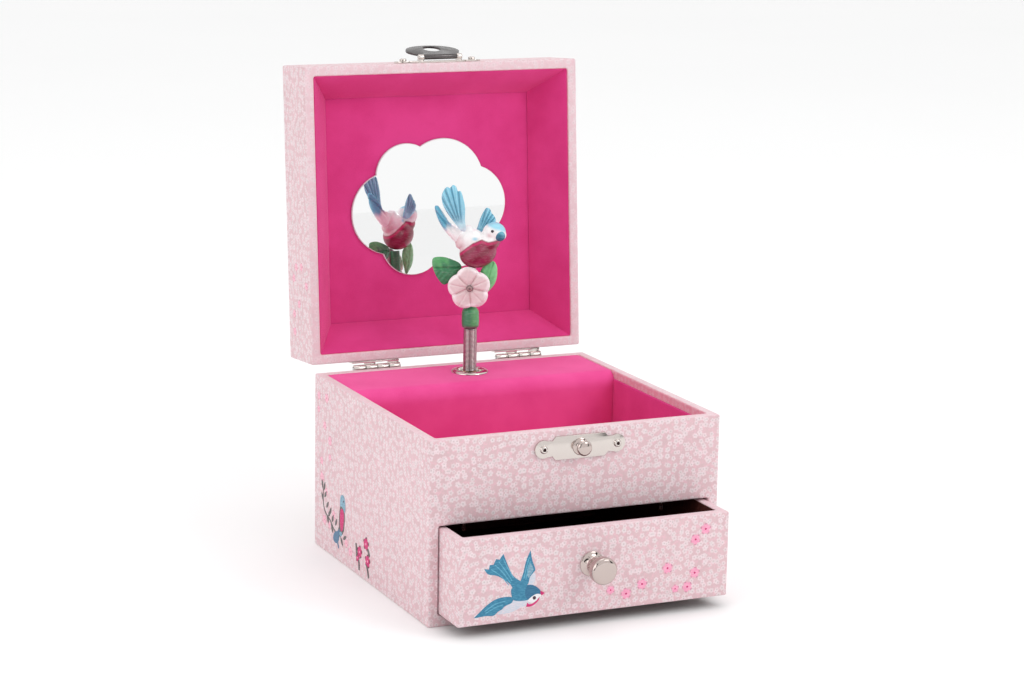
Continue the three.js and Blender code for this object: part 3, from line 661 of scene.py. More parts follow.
def dressed(node, body, material, width, slot):
    """A finished copy of a CAD node: the same shape with softened edges and smooth shading."""
    source = frame["nodes"][node]
    mesh = source.data.copy()
    o = bpy.data.objects.new(node + "_finished", mesh)
    SCENE.collection.objects.link(o)
    while mesh.uv_layers:
        mesh.uv_layers.remove(mesh.uv_layers[0])
    mesh.materials.clear()
    mesh.materials.append(material)
    mesh.polygons.foreach_set("material_index", [0] * len(mesh.polygons))
    if mesh.attributes.get("custom_normal"):
        mesh.attributes.remove(mesh.attributes["custom_normal"])
    weld(o)
    with editing(mesh) as bm:
        bmesh.ops.dissolve_limit(bm, angle_limit=math.radians(1.0), verts=bm.verts, edges=bm.edges)
    soften(o, width, 2, 40, 35)
    return place(o, body, slot, node)


# ---- Papered boards -------------------------------------------------------------------------
def paint_faces(o, choose):
    """Gives each face the material whose index choose(centre, normal) says, in millimetres."""
    for face in o.data.polygons:
        face.material_index = choose(face.center / MM, face.normal)


SHELF_SPLIT = 40   # where the drawer's bay ends and the tray above it begins


def add_base_shell():
    shell = block("base_shell", (-HALF, -HALF, 0), (HALF, HALF, BASE_TOP), PAPER)
    room = block("room", (-INNER, -INNER, 4.5), (INNER, INNER, 80), PAPER)
    mouth = block("mouth", (-INNER, -70, 4.5), (INNER, -50, 38.5), PAPER)
    key_hole = cylinder("key_hole", (0, 50, 56), (0, 70, 56), 3)
    carve(shell, room, mouth, key_hole)
    with editing(shell.data) as bm:
        slice_across(bm, 2, SHELF_SPLIT)
    soften(shell, 0.7, 4)
    for m in (PAPER_RIM_LIT, PAPER_TURNED_SHADED, BOARD_DARK):
        shell.data.materials.append(m)

    def choose(c, n):
        inside = abs(c.x) < INNER + 0.4 and abs(c.y) < INNER + 0.4
        if inside and c.z < SHELF_SPLIT and 4 < c.z:
            return 3 if abs(n.x) > 0.5 or n.y < -0.5 or n.z > 0.5 else 0
        # the turned-over paper above the lining, with its painted shade
        if inside and c.z < 70.9:
            return 2
        # rim tops facing up take the paper with the painted highlight
        return 1 if c.z > 70.4 and n.z > 0.6 else 0

    lay_print(shell)
    paint_faces(shell, choose)
    return place(shell, "base", "printed_paper", "left_board", "right_board", "front_board",
                 "back_board", "bottom_board")


def add_lid_shell():
    shell = block("lid_shell", (-HALF, -HALF, LID_LOW), (HALF, HALF, LID_TOP), PAPER)
    carve(shell, block("room", (-INNER, -INNER, 60), (INNER, INNER, 93.3), PAPER))
    soften(shell, 0.8, 4)
    for m in (PAPER_RIM_LIT, PAPER_TURNED_SHADED):
        shell.data.materials.append(m)

    def choose(c, n):
        # the lid's rim, facing down while shut, takes the paper with the painted highlight
        if c.z < 71.7 and n.z < -0.6:
            return 1
        # the inside walls take the turned-over paper with its painted shade
        return 2 if abs(c.x) < INNER + 0.4 and abs(c.y) < INNER + 0.4 and c.z < 93.5 else 0

    lay_print(shell)
    paint_faces(shell, choose)
    return place(shell, "lid", "printed_paper", "lid_top_panel", "lid_left_wall", "lid_right_wall",
                 "lid_front_wall", "lid_back_wall", lid=True)


def add_drawer_shell():
    front, rear = DRAWER_FRONT_Y, 33.125
    shell = block("drawer_shell", (-55.625, front, 4.75), (55.625, rear, 37.625), PAPER)
    room = block("room", (-52, front + 4.25, 8), (52, rear - 3.625, 45), PAPER)
    under = block("under", (-52, front + 4.25, 0), (52, rear - 3.625, 6), PAPER)
    carve(shell, room, under)
    soften(shell, 0.6, 4)
    for m in (PAPER_RIM_LIT, BOARD_DARK):
        shell.data.materials.append(m)

    def choose(c, n):
        if abs(c.x) < 52.3 and front + 4 < c.y < rear - 3.3 and c.z < 37.3:
            return 2
        if c.y > rear - 3.7:
            return 2
        # the top edges take the paper with the painted highlight
        return 1 if c.z > 37.2 and n.z > 0.6 else 0

    lay_print(shell)
    paint_faces(shell, choose)
    return place(shell, "drawer", "printed_paper", "drawer_front", "drawer_left_side",
                 "drawer_right_side", "drawer_back", "drawer_bottom")


# ---- Lining ---------------------------------------------------------------------------------
def cushion(name, low, high, material, crown, round_edge):
    """A flat padded panel: a block with soft edges whose chosen faces swell a little at the middle."""
    o, steps = block(name, low, high, material), 28
    lo, hi, swell = Vector(low), Vector(high), Vector(crown)
    mid, half = (lo + hi) / 2, (hi - lo) / 2
    with editing(o.data) as bm:
        for axis in range(3):
            span = high[axis] - low[axis]
            if span >= 4:
                for k in range(1, steps):
                    slice_across(bm, axis, low[axis] + span * k / steps)
        for v in bm.verts:
            p = Vector(v.co) / MM
            q = [(p[i] - mid[i]) / half[i] for i in range(3)]
            for axis in range(3):
                if swell[axis] and q[axis] * swell[axis] > 0.99 * abs(swell[axis]):
                    others = [q[i] for i in range(3) if i != axis]
                    lift = 1.0
                    for w in others:
                        lift *= 1 - abs(w) ** 6
                    wander = 0.12 * math.sin(0.19 * p.x + 1.3) * math.sin(0.16 * (p.y + p.z))
                    p[axis] += swell[axis] * lift * (1 + wander)
            v.co = p * MM
    return soften(o, round_edge, 4, 50, 60)


def add_tray():
    side, front, top, back = 54.75, -54.75, 68, 21
    floor = cushion("tray_floor_lining", (-side + 0.1, front + 0.1, 41.6), (side - 0.1, back - 0.1, 42.7),
                    FLOCK, (0, 0, 0.3), 0.5)
    place(floor, "base", "lining", "tray_floor_pad")
    for name, sign in (("left", -1), ("right", 1)):
        x = sorted((sign * (side + 0.05), sign * (INNER - 0.03)))
        swell = (-sign * 0.12, 0, 0)
        panel = cushion("tray_lining_" + name + "_flock", (x[0], -INNER + 0.03, 41.6),
                        (x[1], back - 0.1, top), FLOCK, swell, 0.35)
        place(panel, "base", "lining", "tray_lining_" + name)
    panel = cushion("tray_lining_front_flock", (-side + 0.1, -INNER + 0.03, 41.6),
                    (side - 0.1, front - 0.05, top), FLOCK, (0, 0.12, 0), 0.35)
    place(panel, "base", "lining", "tray_lining_front")


def add_movement_cover():
    """The padded cover over the movement: foam under flock, rolled over the front edge."""
    front, back, top, low, edge, wall = 21.0, 55.85, 70.85, 41.6, 6.0, 2.0
    outer = [(front, low)] + [(front, low + (top - edge - low) * k / 8) for k in range(1, 9)]
    for k in range(1, 13):
        t = math.radians(180 - 90 * k / 12)
        outer.append((front + edge + edge * math.cos(t), top - edge + edge * math.sin(t)))
    span = back - front - edge
    outer += [(front + edge + span * k / 10, top) for k in range(1, 11)]
    inner = [(back, top - wall), (front + edge, top - wall)]
    for k in range(1, 9):
        t = math.radians(90 + 90 * k / 8)
        inner.append((front + edge + (edge - wall) * math.cos(t), top - edge + (edge - wall) * math.sin(t)))
    inner.append((front + wall, low))
    profile = outer + inner
    count, half = 48, INNER - 0.12
    verts, faces = [], []
    for i in range(count + 1):
        s = -1 + 2 * i / count
        for k, (y, z) in enumerate(profile):
            if k < len(outer):
                # foam: the middle stands a little proud, the two ends pull in
                lift = 0.22 * (1 - abs(s) ** 8) + 0.10 * math.sin(9.1 * s + 0.5) * math.sin(k * 0.21)
                pull = 0.5 * max(0.0, (abs(s) - 0.975) / 0.025) ** 2
                drop = lift * (1 if 6 < k < len(outer) - 2 else 0.3) - pull
                if k <= 8:
                    y -= drop * 0.5
                elif k <= 20:
                    y, z = y - drop * 0.4, z + drop * 0.3
                else:
                    z += drop * 0.45
            verts.append((s * half, y, min(z, 70.98)))
    n = len(profile)
    for i in range(count):
        for k in range(n):
            j = (k + 1) % n
            faces.append((i * n + k, i * n + j, (i + 1) * n + j, (i + 1) * n + k))
    faces += [tuple(range(n)), tuple(range(count * n, (count + 1) * n))]
    # the cover's brighter flock is painted light
    o = mesh_object("movement_cover_padded", verts, faces, [FLOCK_LIT])
    shaft_hole = cylinder("shaft_hole", (0, SHAFT_Y, 66), (0, SHAFT_Y, 75), 5.8)
    pin_hole = cylinder("pin_hole", (5.9, 54.4, 66), (5.9, 54.4, 75), 1.15, 24)
    carve(o, shaft_hole, pin_hole)
    shade_smoothly(o, 50)
    place(o, "base", "lining", "movement_cover")


def slanted(name, corners, inward, node):
    """A slanting lining panel between four corners, its face swelling a little along inward."""
    steps, thick = 20, 1.0
    a, b, c, d = (Vector(p) for p in corners)
    inward = Vector(inward).normalized()
    front, back = [], []
    for i in range(steps + 1):
        for j in range(steps + 1):
            s, t = i / steps, j / steps
            p = (a * (1 - s) + b * s) * (1 - t) + (d * (1 - s) + c * s) * t
            lift = 0.28 * (1 - abs(2 * s - 1) ** 7) * (1 - abs(2 * t - 1) ** 4)
            wander = 0.05 * math.sin(11 * s + 2) * math.sin(7 * t)
            front.append(p + inward * (lift + wander * (1 - abs(2 * s - 1) ** 6)))
            back.append(p - inward * thick)
    n = steps + 1
    faces = []
    for i in range(steps):
        for j in range(steps):
            q = (i * n + j, i * n + j + 1, (i + 1) * n + j + 1, (i + 1) * n + j)
            faces += [q, tuple(v + n * n for v in reversed(q))]
    rim = ([(i, 0) for i in range(n)] + [(steps, j) for j in range(1, n)]
           + [(i, steps) for i in range(steps - 1, -1, -1)] + [(0, j) for j in range(steps - 1, 0, -1)])
    ids = [i * n + j for i, j in rim]
    for u, v in zip(ids, ids[1:] + ids[:1]):
        faces.append((u, v, v + n * n, u + n * n))
    o = mesh_object(name, [tuple(v) for v in front + back], faces, [FLOCK])
    o.data.set_sharp_from_angle(angle=math.radians(45))
    return place(o, "lid", "lining", node, lid=True)


def add_lid_lining():
    out, low, cx, cy, high = 55.7, 71.85, 45.05, 46.05, 88.45
    for name, s in (("left", -1), ("right", 1)):
        slanted("lid_liner_" + name + "_flock",
                [(s * out, -out, low), (s * out, out, low), (s * cx, cy, high), (s * cx, -cy, high)],
                (-s * (high - low), 0, -(out - cx)), "lid_liner_" + name)
    for name, s in (("front", -1), ("back", 1)):
        slanted("lid_liner_" + name + "_flock",
                [(-out, s * out, low), (out, s * out, low), (cx, s * cy, high), (-cx, s * cy, high)],
                (0, -s * (high - low), -(out - cy)), "lid_liner_" + name)
    ceiling = cushion("lid_liner_ceiling_flock", (-46.1, -47.1, 88.75), (46.1, 47.1, 90), FLOCK,
                      (0, 0, -0.12), 0.3)
    place(ceiling, "lid", "lining", "lid_liner_ceiling", lid=True)


LOBES = [(-17.9, 1.8, 17.1), (-10.4, -13.2, 13.6), (6, -10, 18.3), (18, -0.8, 16), (-8.3, 14, 13.9),
         (12.5, 10.8, 15)]


def add_mirror():
    """The cloud-shaped mirror: the outline of six round lobes, polished face and ground edge."""
    count, ring = 540, []
    for i in range(count):
        t = 2 * math.pi * i / count
        d = Vector((math.cos(t), math.sin(t)))
        reach = 0.0
        for x, y, r in LOBES:
            c = Vector((x, y))
            along = c.dot(d)
            under = r * r - (c.length_squared - along * along)
            if under > 0:
                reach = max(reach, along + math.sqrt(under))
        ring.append(d * reach)
    low, high, edge = 87.5, 88.45, 0.3
    verts = []
    for inset, z in ((edge, low), (0.0, low + edge), (0.0, high)):
        verts += [(p.x * (1 - inset / p.length), p.y * (1 - inset / p.length), z) for p in ring]
    faces = [tuple(range(count)), tuple(range(2 * count, 3 * count))]
    indices = [0, 1]
    for row in range(2):
        for i in range(count):
            j = (i + 1) % count
            a = row * count
            faces.append((a + i, a + j, a + count + j, a + count + i))
            indices.append(1)
    o = mesh_object("mirror_cloud", verts, faces, [MIRROR, MIRROR_EDGE], indices, smooth=False)
    place(o, "lid", "mirror", "lid_mirror", lid=True)


# ---- Metalwork ------------------------------------------------------------------------------
def add_knob():
    y = DRAWER_FRONT_Y
    shape = [(0, 0), (4.5, 0)]
    shape += rounded([(4.75, 0.25), (4.7, 0.7), (3.6, 1.2), (2.75, 2.0), (2.45, 3.4), (2.5, 5.4),
                      (3.1, 6.8),
                      (4.4, 7.5), (5.05, 8.3), (5.22, 9.4), (5.2, 10.8), (5.0, 11.4), (4.6, 11.85)], 6)
    shape += [(4.4, 11.95), (3.0, 12.1), (1.5, 12.18), (0, 12.2)]
    knob = lathe("drawer_knob_turned", shape, CHROME, (-2, y, 23.5), (0, -1, 0), 96)
    place(knob, "drawer", "nickel", "drawer_knob")


def add_stud():
    profile = [(0, 0), (3.3, 0)]
    profile += rounded([(3.3, 0.2), (3.2, 0.5), (2.3, 0.9), (1.95, 1.4), (2.0, 2.2), (2.6, 2.6),
                        (2.95, 3.2), (2.9, 3.8), (2.3, 4.4), (1.2, 4.7)], 6)
    profile += [(0.5, 4.78), (0, 4.8)]
    stud = lathe("latch_stud_turned", profile, CHROME, (0.6, -60.8, 64), (0, -1, 0), 64)
    place(stud, "base", "nickel", "latch_stud")


def add_grommet():
    z = BASE_TOP
    profile = [(5.0, z - 2.4), (5.55, z - 2.4), (5.6, z - 0.05), (7.45, z + 0.02)]
    profile += rounded([(7.5, z + 0.12), (7.3, z + 0.5), (6.7, z + 0.85), (5.9, z + 0.98), (5.3, z + 0.8),
                        (5.0, z + 0.35)], 5)
    profile += [(5.0, z - 2.4)]
    ring = lathe("shaft_grommet_turned", profile, NICKEL, (0, SHAFT_Y, 0), (0, 0, 1), 80)
    place(ring, "base", "nickel", "shaft_grommet")


def add_rivets():
    """Small hollow rivet heads at both ends of the catch plate and the lid plate."""
    for name, x, z, body, lid in (("latch", 0.6, 64.0, "base", False), ("hasp", 0.0, 77.2, "lid", True)):
        for side, sign in (("left", -1), ("right", 1)):
            at = (x + sign * 15.2, -61.75, z)
            head = [(0, -0.08), (0.56, -0.08), (0.64, 0.1), (0.85, 0.2), (1.15, 0.12), (1.4, -0.15),
                    (1.5, -0.6), (0, -0.7)]
            o = lathe(f"{name}_rivet_{side}", head, NICKEL, at, (0, -1, 0), 40)
            # the hollow middle of each head takes the painted shadow
            o.data.materials.append(SHADOW)
            for face in o.data.polygons:
                c = face.center / MM
                if math.hypot(c.x - at[0], c.z - at[2]) < 0.6:
                    face.material_index = 1
            place(o, body, "nickel", lid=lid)


def add_metalwork():
    add_knob()
    add_stud()
    add_grommet()
    add_rivets()
    dressed("latch_plate", "base", NICKEL, 0.16, "nickel")
    dressed("hasp_plate", "lid", NICKEL, 0.14, "nickel")
    # the flap's near-black colour is a painted reflection
    dressed("hasp_flap", "hasp", NICKEL_PAINTED_DARK, 0.16, "nickel")
    for side in ("left", "right"):
        dressed("base_hinge_leaf_" + side, "base", NICKEL, 0.1, "nickel")
        dressed("lid_hinge_leaf_" + side, "lid", NICKEL, 0.1, "nickel")
        dressed("hinge_pin_" + side, "base", STEEL, 0.1, "steel")
        dressed("drawer_stop_pin_" + side, "base", STEEL, 0.15, "steel")
    dressed("winding_key", "key", BRASS, 0.5, "brass")


def coil(name, z0, turns, radius, wire, pitch):
    """A close-wound spring of turns about the shaft line, its wire starting at height z0."""
    around = 28
    total = turns * around
    sides = 8
    verts, faces = [], []
    for i in range(total + 1):
        t = 2 * math.pi * i / around
        z = z0 + pitch * i / around
        out = Vector((math.cos(t), math.sin(t), 0))
        centre = out * (radius - wire / 2) + Vector((0, SHAFT_Y, z))
        for k in range(sides):
            a = 2 * math.pi * k / sides
            verts.append(tuple(centre + out * math.cos(a) * wire / 2
                               + Vector((0, 0, 1)) * math.sin(a) * wire / 2))
    for i in range(total):
        for k in range(sides):
            j = (k + 1) % sides
            a, b = i * sides, (i + 1) * sides
            faces.append((a + k, a + j, b + j, b + k))
    faces += [tuple(range(sides)), tuple(range(total * sides, (total + 1) * sides))]
    return mesh_object(name, verts, faces, [STEEL_COIL])


def add_spring():
    radius, wire, pitch, foot, turns = 2.8, 0.5, 0.51, 71.5, (16, 18)
    low = coil("spring_coil_lower", foot, turns[0], radius, wire, pitch)
    high = coil("spring_coil_upper", foot + turns[0] * pitch, turns[1], radius, wire, pitch)
    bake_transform(low)
    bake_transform(high)
    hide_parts("spring_shaft_lower")
    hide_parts("spring_shaft_upper")


# ---- The bird on its flower -----------------------------------------------------------------
def figure_matrix():
    joint = joint_named("figure_spin")
    x, y, _ = joint["pos_m"]
    return Matrix.Translation((x, y, 0)) @ Matrix.Rotation(math.radians(-24.6), 4, "Z")


FIGURE = figure_matrix()


def painted(o, colour):
    """Paints o: colour(x, y, z, n) gives linear light for a point in the figure's own millimetres."""
    layer = o.data.color_attributes.new("paint", "FLOAT_COLOR", "POINT")
    for i, v in enumerate(o.data.vertices):
        layer.data[i].color = (*colour(*(v.co / MM), v.normal), 1.0)
    return o


def on_figure(o, slot, *nodes, move=(0, 0, 0)):
    """Puts a piece on the turning figure, moved by move millimetres in the figure's own frame."""
    o.data.transform(Matrix.Translation(Vector(move) * MM))
    o.matrix_world = FIGURE
    return place(o, "figure", slot, *nodes)


def blend_colour(a, b, t):
    t = min(1.0, max(0.0, t))
    t = t * t * (3 - 2 * t)
    return tuple(x * (1 - t) + y * t for x, y in zip(a, b))


def pebble(name, outline, middle, thick, material, relief=None, rings=26, count=192, lean=None):
    """A flat modelled shape: domed front and back over an outline of (x, z) points.

    relief(x, z, depth) adds to the front and the back, lean(x, z) moves a point along y."""
    ring = loop_curve(outline, count)
    n = len(ring)
    centre = sum(ring, Vector((0, 0))) / n
    verts, rows = [], {}
    for side in (-1, 1):
        for r in range(rings + 1):
            rho = math.sin(math.pi / 2 * r / rings)
            row = []
            for p in ring if r else [centre]:
                q = centre + (p - centre) * rho
                if r == rings and side == 1:
                    row = rows[(-1, rings)]
                    break
                dome = max(0.0, 1 - rho ** 2.6) ** 0.5
                extra = relief(q.x, q.y, rho) * min(1.0, dome * 2) if relief else 0.0
                y = middle + side * max(0.02 if r < rings else 0.0, thick * dome + extra)
                if lean:
                    y += lean(q.x, q.y)
                row.append(len(verts))
                verts.append((q.x, y, q.y))
            rows[(side, r)] = row
    faces = []
    for side in (-1, 1):
        for r in range(rings):
            a, b = rows[(side, r)], rows[(side, r + 1)]
            for i in range(n):
                j = (i + 1) % n
                faces.append((a[0], b[i], b[j]) if r == 0 else (a[i], b[i], b[j], a[j]))
    return mesh_object(name, verts, faces, [material])


def grooves(root, angles, width, depth, start=2.0):
    """Feather grooves fanning out from a root point, at the given angles in degrees."""
    def relief(x, z, _):
        dx, dz = x - root[0], z - root[1]
        far = math.hypot(dx, dz)
        here = math.degrees(math.atan2(dz, dx))
        near = min(abs(here - a) for a in angles)
        off = math.radians(near) * far
        return -depth * math.exp(-(off / width) ** 2) * min(1.0, max(0.0, (far - start) / 3))
    return relief


WHITE = srgb(246, 244, 244)
SKY = srgb(150, 212, 232)
TEAL = srgb(96, 178, 206)
DEEP = srgb(52, 122, 152)
BLUSH = srgb(228, 200, 204)
WINE = srgb(130, 28, 60)
WINE_LIGHT = srgb(148, 42, 78)
ROSE = srgb(196, 26, 96)


def feather_paint(root, angles, light, dark, pale, reach):
    def colour(x, _y, z, _n):
        dx, dz = x - root[0], z - root[1]
        far = math.hypot(dx, dz)
        here = math.degrees(math.atan2(dz, dx))
        near = min(abs(here - a) for a in angles)
        off = math.radians(near) * far
        base = blend_colour(pale, light, (far - 1.5) / reach)
        streak = 0.5 + 0.5 * math.sin(here * 1.9 + 0.3 * far)
        base = blend_colour(base, TEAL, 0.55 * streak * min(1.0, far / 6))
        groove = math.exp(-(off / 0.42) ** 2) * min(1.0, max(0.0, (far - 3) / 4))
        return blend_colour(base, dark, 0.6 * groove)
    return colour


RESIN = glaze("painted_resin")
RESIN_SATIN = glaze("painted_resin_satin", roughness=0.42)


def add_wings():
    angles = [96, 104.5, 112, 120, 128]
    outline = [(-0.6, 129.6), (-1.0, 134), (-1.1, 139.5), (-2.3, 144.4), (-3.0, 145.6), (-4.0, 145.6),
               (-4.7, 147.3), (-6.0, 148.0), (-7.2, 146.8), (-8.2, 147.2), (-9.4, 146.2), (-10.4, 143.6),
               (-10.0, 140.4), (-8.5, 137.2), (-6.2, 134.0), (-3.9, 131.0), (-2.4, 129.4)]
    root = (-2.0, 128.5)
    wing = pebble("bird_wing_near", outline, -4.4, 1.25, RESIN, grooves(root, angles, 0.5, 0.75),
                  lean=lambda x, z: -0.05 * (z - 130) + 0.012 * (z - 137) ** 2 * 0.5)
    painted(wing, feather_paint(root, angles, SKY, DEEP, srgb(206, 234, 242), 7))
    on_figure(wing, "blue_paint", "bird_wing_right", move=(-1.6, 0, 0))
    angles = [50, 58, 66, 75]
    outline = [(3.0, 128.6), (3.6, 131.6), (4.8, 135.2), (6.3, 138.0), (7.3, 138.7), (8.4, 138.0),
               (9.0, 136.6), (9.9, 135.6), (10.7, 134.0), (10.5, 132.2), (9.4, 130.4), (6.2, 128.2)]
    root = (3.6, 126.8)
    wing = pebble("bird_wing_far", outline, 4.3, 1.2, RESIN, grooves(root, angles, 0.45, 0.7),
                  lean=lambda x, z: 0.05 * (z - 130))
    painted(wing, feather_paint(root, angles, SKY, DEEP, SKY, 5))
    on_figure(wing, "blue_paint", "bird_wing_left", move=(-1.1, 0, -1.1))


def add_tail():
    angles = [118, 125.5, 133]
    root = (0.6, 122.4)
    outline = [(-13.6, 138.8), (-12.9, 139.5), (-11.9, 138.9), (-9.9, 135.6), (-7.4, 132.4), (-3.6, 130.8),
               (0.2, 129.4), (1.5, 126.4), (-1.0, 123.2), (-4.0, 123.8), (-7.0, 126.5), (-9.6, 129.5),
               (-11.8, 133), (-13.1, 136.3)]
    tail = pebble("bird_tail_swept", outline, 0.3, 2.5, RESIN, grooves(root, angles, 0.5, 0.6, 8))
    grooved = feather_paint(root, angles, TEAL, DEEP, SKY, 9)

    def colour(x, y, z, n):
        along = (z - 122.4) * 0.78 - (x - 0.6) * 0.62
        blue = (along - 10.6) / 3.2 + 0.16 * math.sin(2.4 * x + z)
        low = blend_colour(WHITE, BLUSH, (126.2 - z - 0.9 * (x + 6)) / 5)
        return blend_colour(low, grooved(x, y, z, n), blue)
    painted(tail, colour)
    on_figure(tail, "blue_paint", "bird_tail", move=(-1.3, 0, -0.6))


def ball(verts, faces, centre, half, tip):
    """Adds an ellipsoid tipped by tip degrees in the x-z plane to a list of points and faces."""
    wide, high = 40, 24
    first = len(verts)
    turn = Matrix.Rotation(-math.radians(tip), 3, "Y")
    for i in range(1, high):
        a = math.pi * i / high
        for j in range(wide):
            b = 2 * math.pi * j / wide
            p = Vector((half[0] * math.sin(a) * math.cos(b), half[1] * math.sin(a) * math.sin(b),
                        half[2] * math.cos(a)))
            verts.append(tuple(Vector(centre) + turn @ p))
    top, bottom = len(verts), len(verts) + 1
    verts.append(tuple(Vector(centre) + turn @ Vector((0, 0, half[2]))))
    verts.append(tuple(Vector(centre) - turn @ Vector((0, 0, half[2]))))
    rows = high - 1
    for j in range(wide):
        k = (j + 1) % wide
        faces.append((top, first + j, first + k))
        faces.append((bottom, first + (rows - 1) * wide + k, first + (rows - 1) * wide + j))
        for i in range(rows - 1):
            a = first + i * wide
            faces.append((a + j, a + wide + j, a + wide + k, a + k))


def clay(name, lumps, material, voxel=0.32, melt=6):
    """Balls of clay pressed together: one closed skin with its joins smoothed over."""
    verts, faces = [], []
    for centre, half, tip in lumps:
        ball(verts, faces, centre, half, tip)
    o = mesh_object(name, verts, faces, [material])
    remesh = o.modifiers.new("skin", "REMESH")
    remesh.mode = "VOXEL"
    remesh.voxel_size = voxel * MM
    remesh.use_smooth_shade = True
    smooth = o.modifiers.new("melt", "SMOOTH")
    smooth.factor = 0.5
    smooth.iterations = melt
    return realise(o)


BIRD_MOVE = (-1.1, 0, 0)
# the edge between the red breast and the white above, as (x, z) points
LINE = [(-12, 116.0), (-3.4, 120.2), (-0.6, 122.8), (1.8, 124.6), (5.4, 126.0), (8, 125.2), (12.4, 126.0),
        (20, 127)]


def add_bird():
    lumps = [((3.8, 0, 120.2), (7.6, 5.9, 6.3), 18), ((7.9, -0.2, 124.4), (5.2, 4.9, 4.0), 30),
             ((10.2, -0.3, 128.4), (4.7, 4.3, 4.2), 0), ((12.6, -0.5, 127.4), (2.5, 2.9, 2.5), 0),
             ((1.2, 0, 125.2), (5.0, 4.6, 4.2), 30), ((-2.0, 0.2, 127.2), (4.8, 2.8, 2.5), 48),
             ((-2.4, 0.1, 124.4), (3.4, 2.9, 2.4), 48)]
    body = clay("bird_body_modelled", lumps, RESIN)

    def edge(x):
        """Height of the line between the red breast and the white above."""
        for (x0, z0), (x1, z1) in zip(LINE, LINE[1:]):
            if x <= x1:
                return z0 + (z1 - z0) * (x - x0) / (x1 - x0)
        return LINE[-1][1]

    def colour(x, y, z, n):
        red = blend_colour(WINE, WINE_LIGHT, 0.5 + 0.5 * math.sin(0.9 * x - 1.1 * z))
        red = blend_colour(red, ROSE, (0.9 - abs(z - edge(x) + 0.9)) / 0.9)
        red = blend_colour(red, srgb(214, 84, 130), (x - 12.2) / 2)
        white = blend_colour(WHITE, BLUSH, (1.6 - math.hypot(x - 8.2, z - 127.6)) / 1.6)
        white = blend_colour(white, BLUSH, (-1.5 - x + 0.5 * (127 - z)) / 4)
        white = blend_colour(white, SKY, (z - 130.4 + 0.35 * (x - 8)) / 1.6)
        white = blend_colour(white, SKY, 1.0 - math.hypot(x - 2.6, (z - 126.2) * 1.6) / 1.8)
        return blend_colour(red, white, (z - edge(x)) / 0.55 + 0.5)
    painted(body, colour)
    on_figure(body, "red_paint", "bird_body", move=BIRD_MOVE)
    lumps = [((12.5, -3.0, 127.4), (2.2, 2.0, 2.1), 0), ((13.4, -4.2, 126.9), (1.1, 1.0, 0.9), 0)]
    beak = clay("bird_beak", lumps, RESIN_SATIN, 0.2, 4)
    painted(beak, lambda x, y, z, n: blend_colour(srgb(36, 106, 134), srgb(92, 168, 190),
                                                  (z - 127.6 + 0.4 * (x - 13)) / 1.4))
    on_figure(beak, "blue_paint", move=BIRD_MOVE)
    for name, y in (("near", -4.35), ("far", 3.75)):
        eye = clay("bird_eye_" + name, [((9.5, y, 129.5), (0.62, 0.5, 0.62), 0)], RESIN_SATIN, 0.12, 1)
        painted(eye, lambda x, y, z, n: srgb(48, 40, 52))
        on_figure(eye, "red_paint", move=BIRD_MOVE)


def add_flower():
    out, middle, centre, turn = 8.7, -3.0, Vector((-0.2, 106.0)), math.radians(97)
    outline = []
    for i in range(60):
        t = 2 * math.pi * i / 60
        wave = abs(math.cos(2.5 * (t - turn)))
        outline.append(centre + Vector((math.cos(t), math.sin(t))) * out * (0.86 + 0.14 * wave ** 0.75))

    def relief(x, z, _):
        dx, dz = x - centre.x, z - centre.y
        far = math.hypot(dx, dz)
        t = math.atan2(dz, dx) - turn
        notch = math.exp(-(math.sin(2.5 * t + math.pi / 2) * far / 1.1) ** 2)
        crease = math.exp(-(math.sin(2.5 * t) * far / 0.9) ** 2)
        rim = math.exp(-((far - out * 0.84) / 1.3) ** 2)
        bowl = -0.75 * math.exp(-(far / 2.3) ** 2)
        share = min(1.0, far / 3)
        return bowl - 0.62 * notch * share - 0.22 * crease * share + 0.34 * rim

    flower = pebble("flower_modelled", outline, middle, 1.35, RESIN_SATIN, relief, rings=34, count=300)

    def colour(x, y, z, n):
        dx, dz = x - centre.x, z - centre.y
        far = math.hypot(dx, dz)
        t = math.atan2(dz, dx) - turn
        base = blend_colour(srgb(222, 192, 194), srgb(231, 208, 210), far / 7)
        fold = math.exp(-(math.sin(2.5 * t + math.pi / 2) * far / 0.9) ** 2) * min(1.0, far / 4)
        base = blend_colour(base, srgb(212, 176, 178), 0.7 * fold)
        return blend_colour(base, srgb(250, 240, 242), (far - 6.4 - 1.0 * math.cos(5 * t)) / 1.4)
    painted(flower, colour)
    on_figure(flower, "petal_paint", "flower", move=(-0.4, 0, 0))
    button = clay("flower_centre", [((0.0, -4.05, 106.0), (1.35, 0.75, 1.35), 0)], RESIN_SATIN, 0.14, 1)
    painted(button, lambda x, y, z, n: blend_colour(
        srgb(176, 140, 140), srgb(104, 84, 86), abs(math.hypot(x, z - 106) - 0.75) / 0.5))
    on_figure(button, "petal_paint", move=(-0.4, 0, 0))


LEAF_DARK = srgb(52, 128, 84)
LEAF_MID = srgb(84, 164, 100)
LEAF_LIGHT = srgb(132, 216, 146)


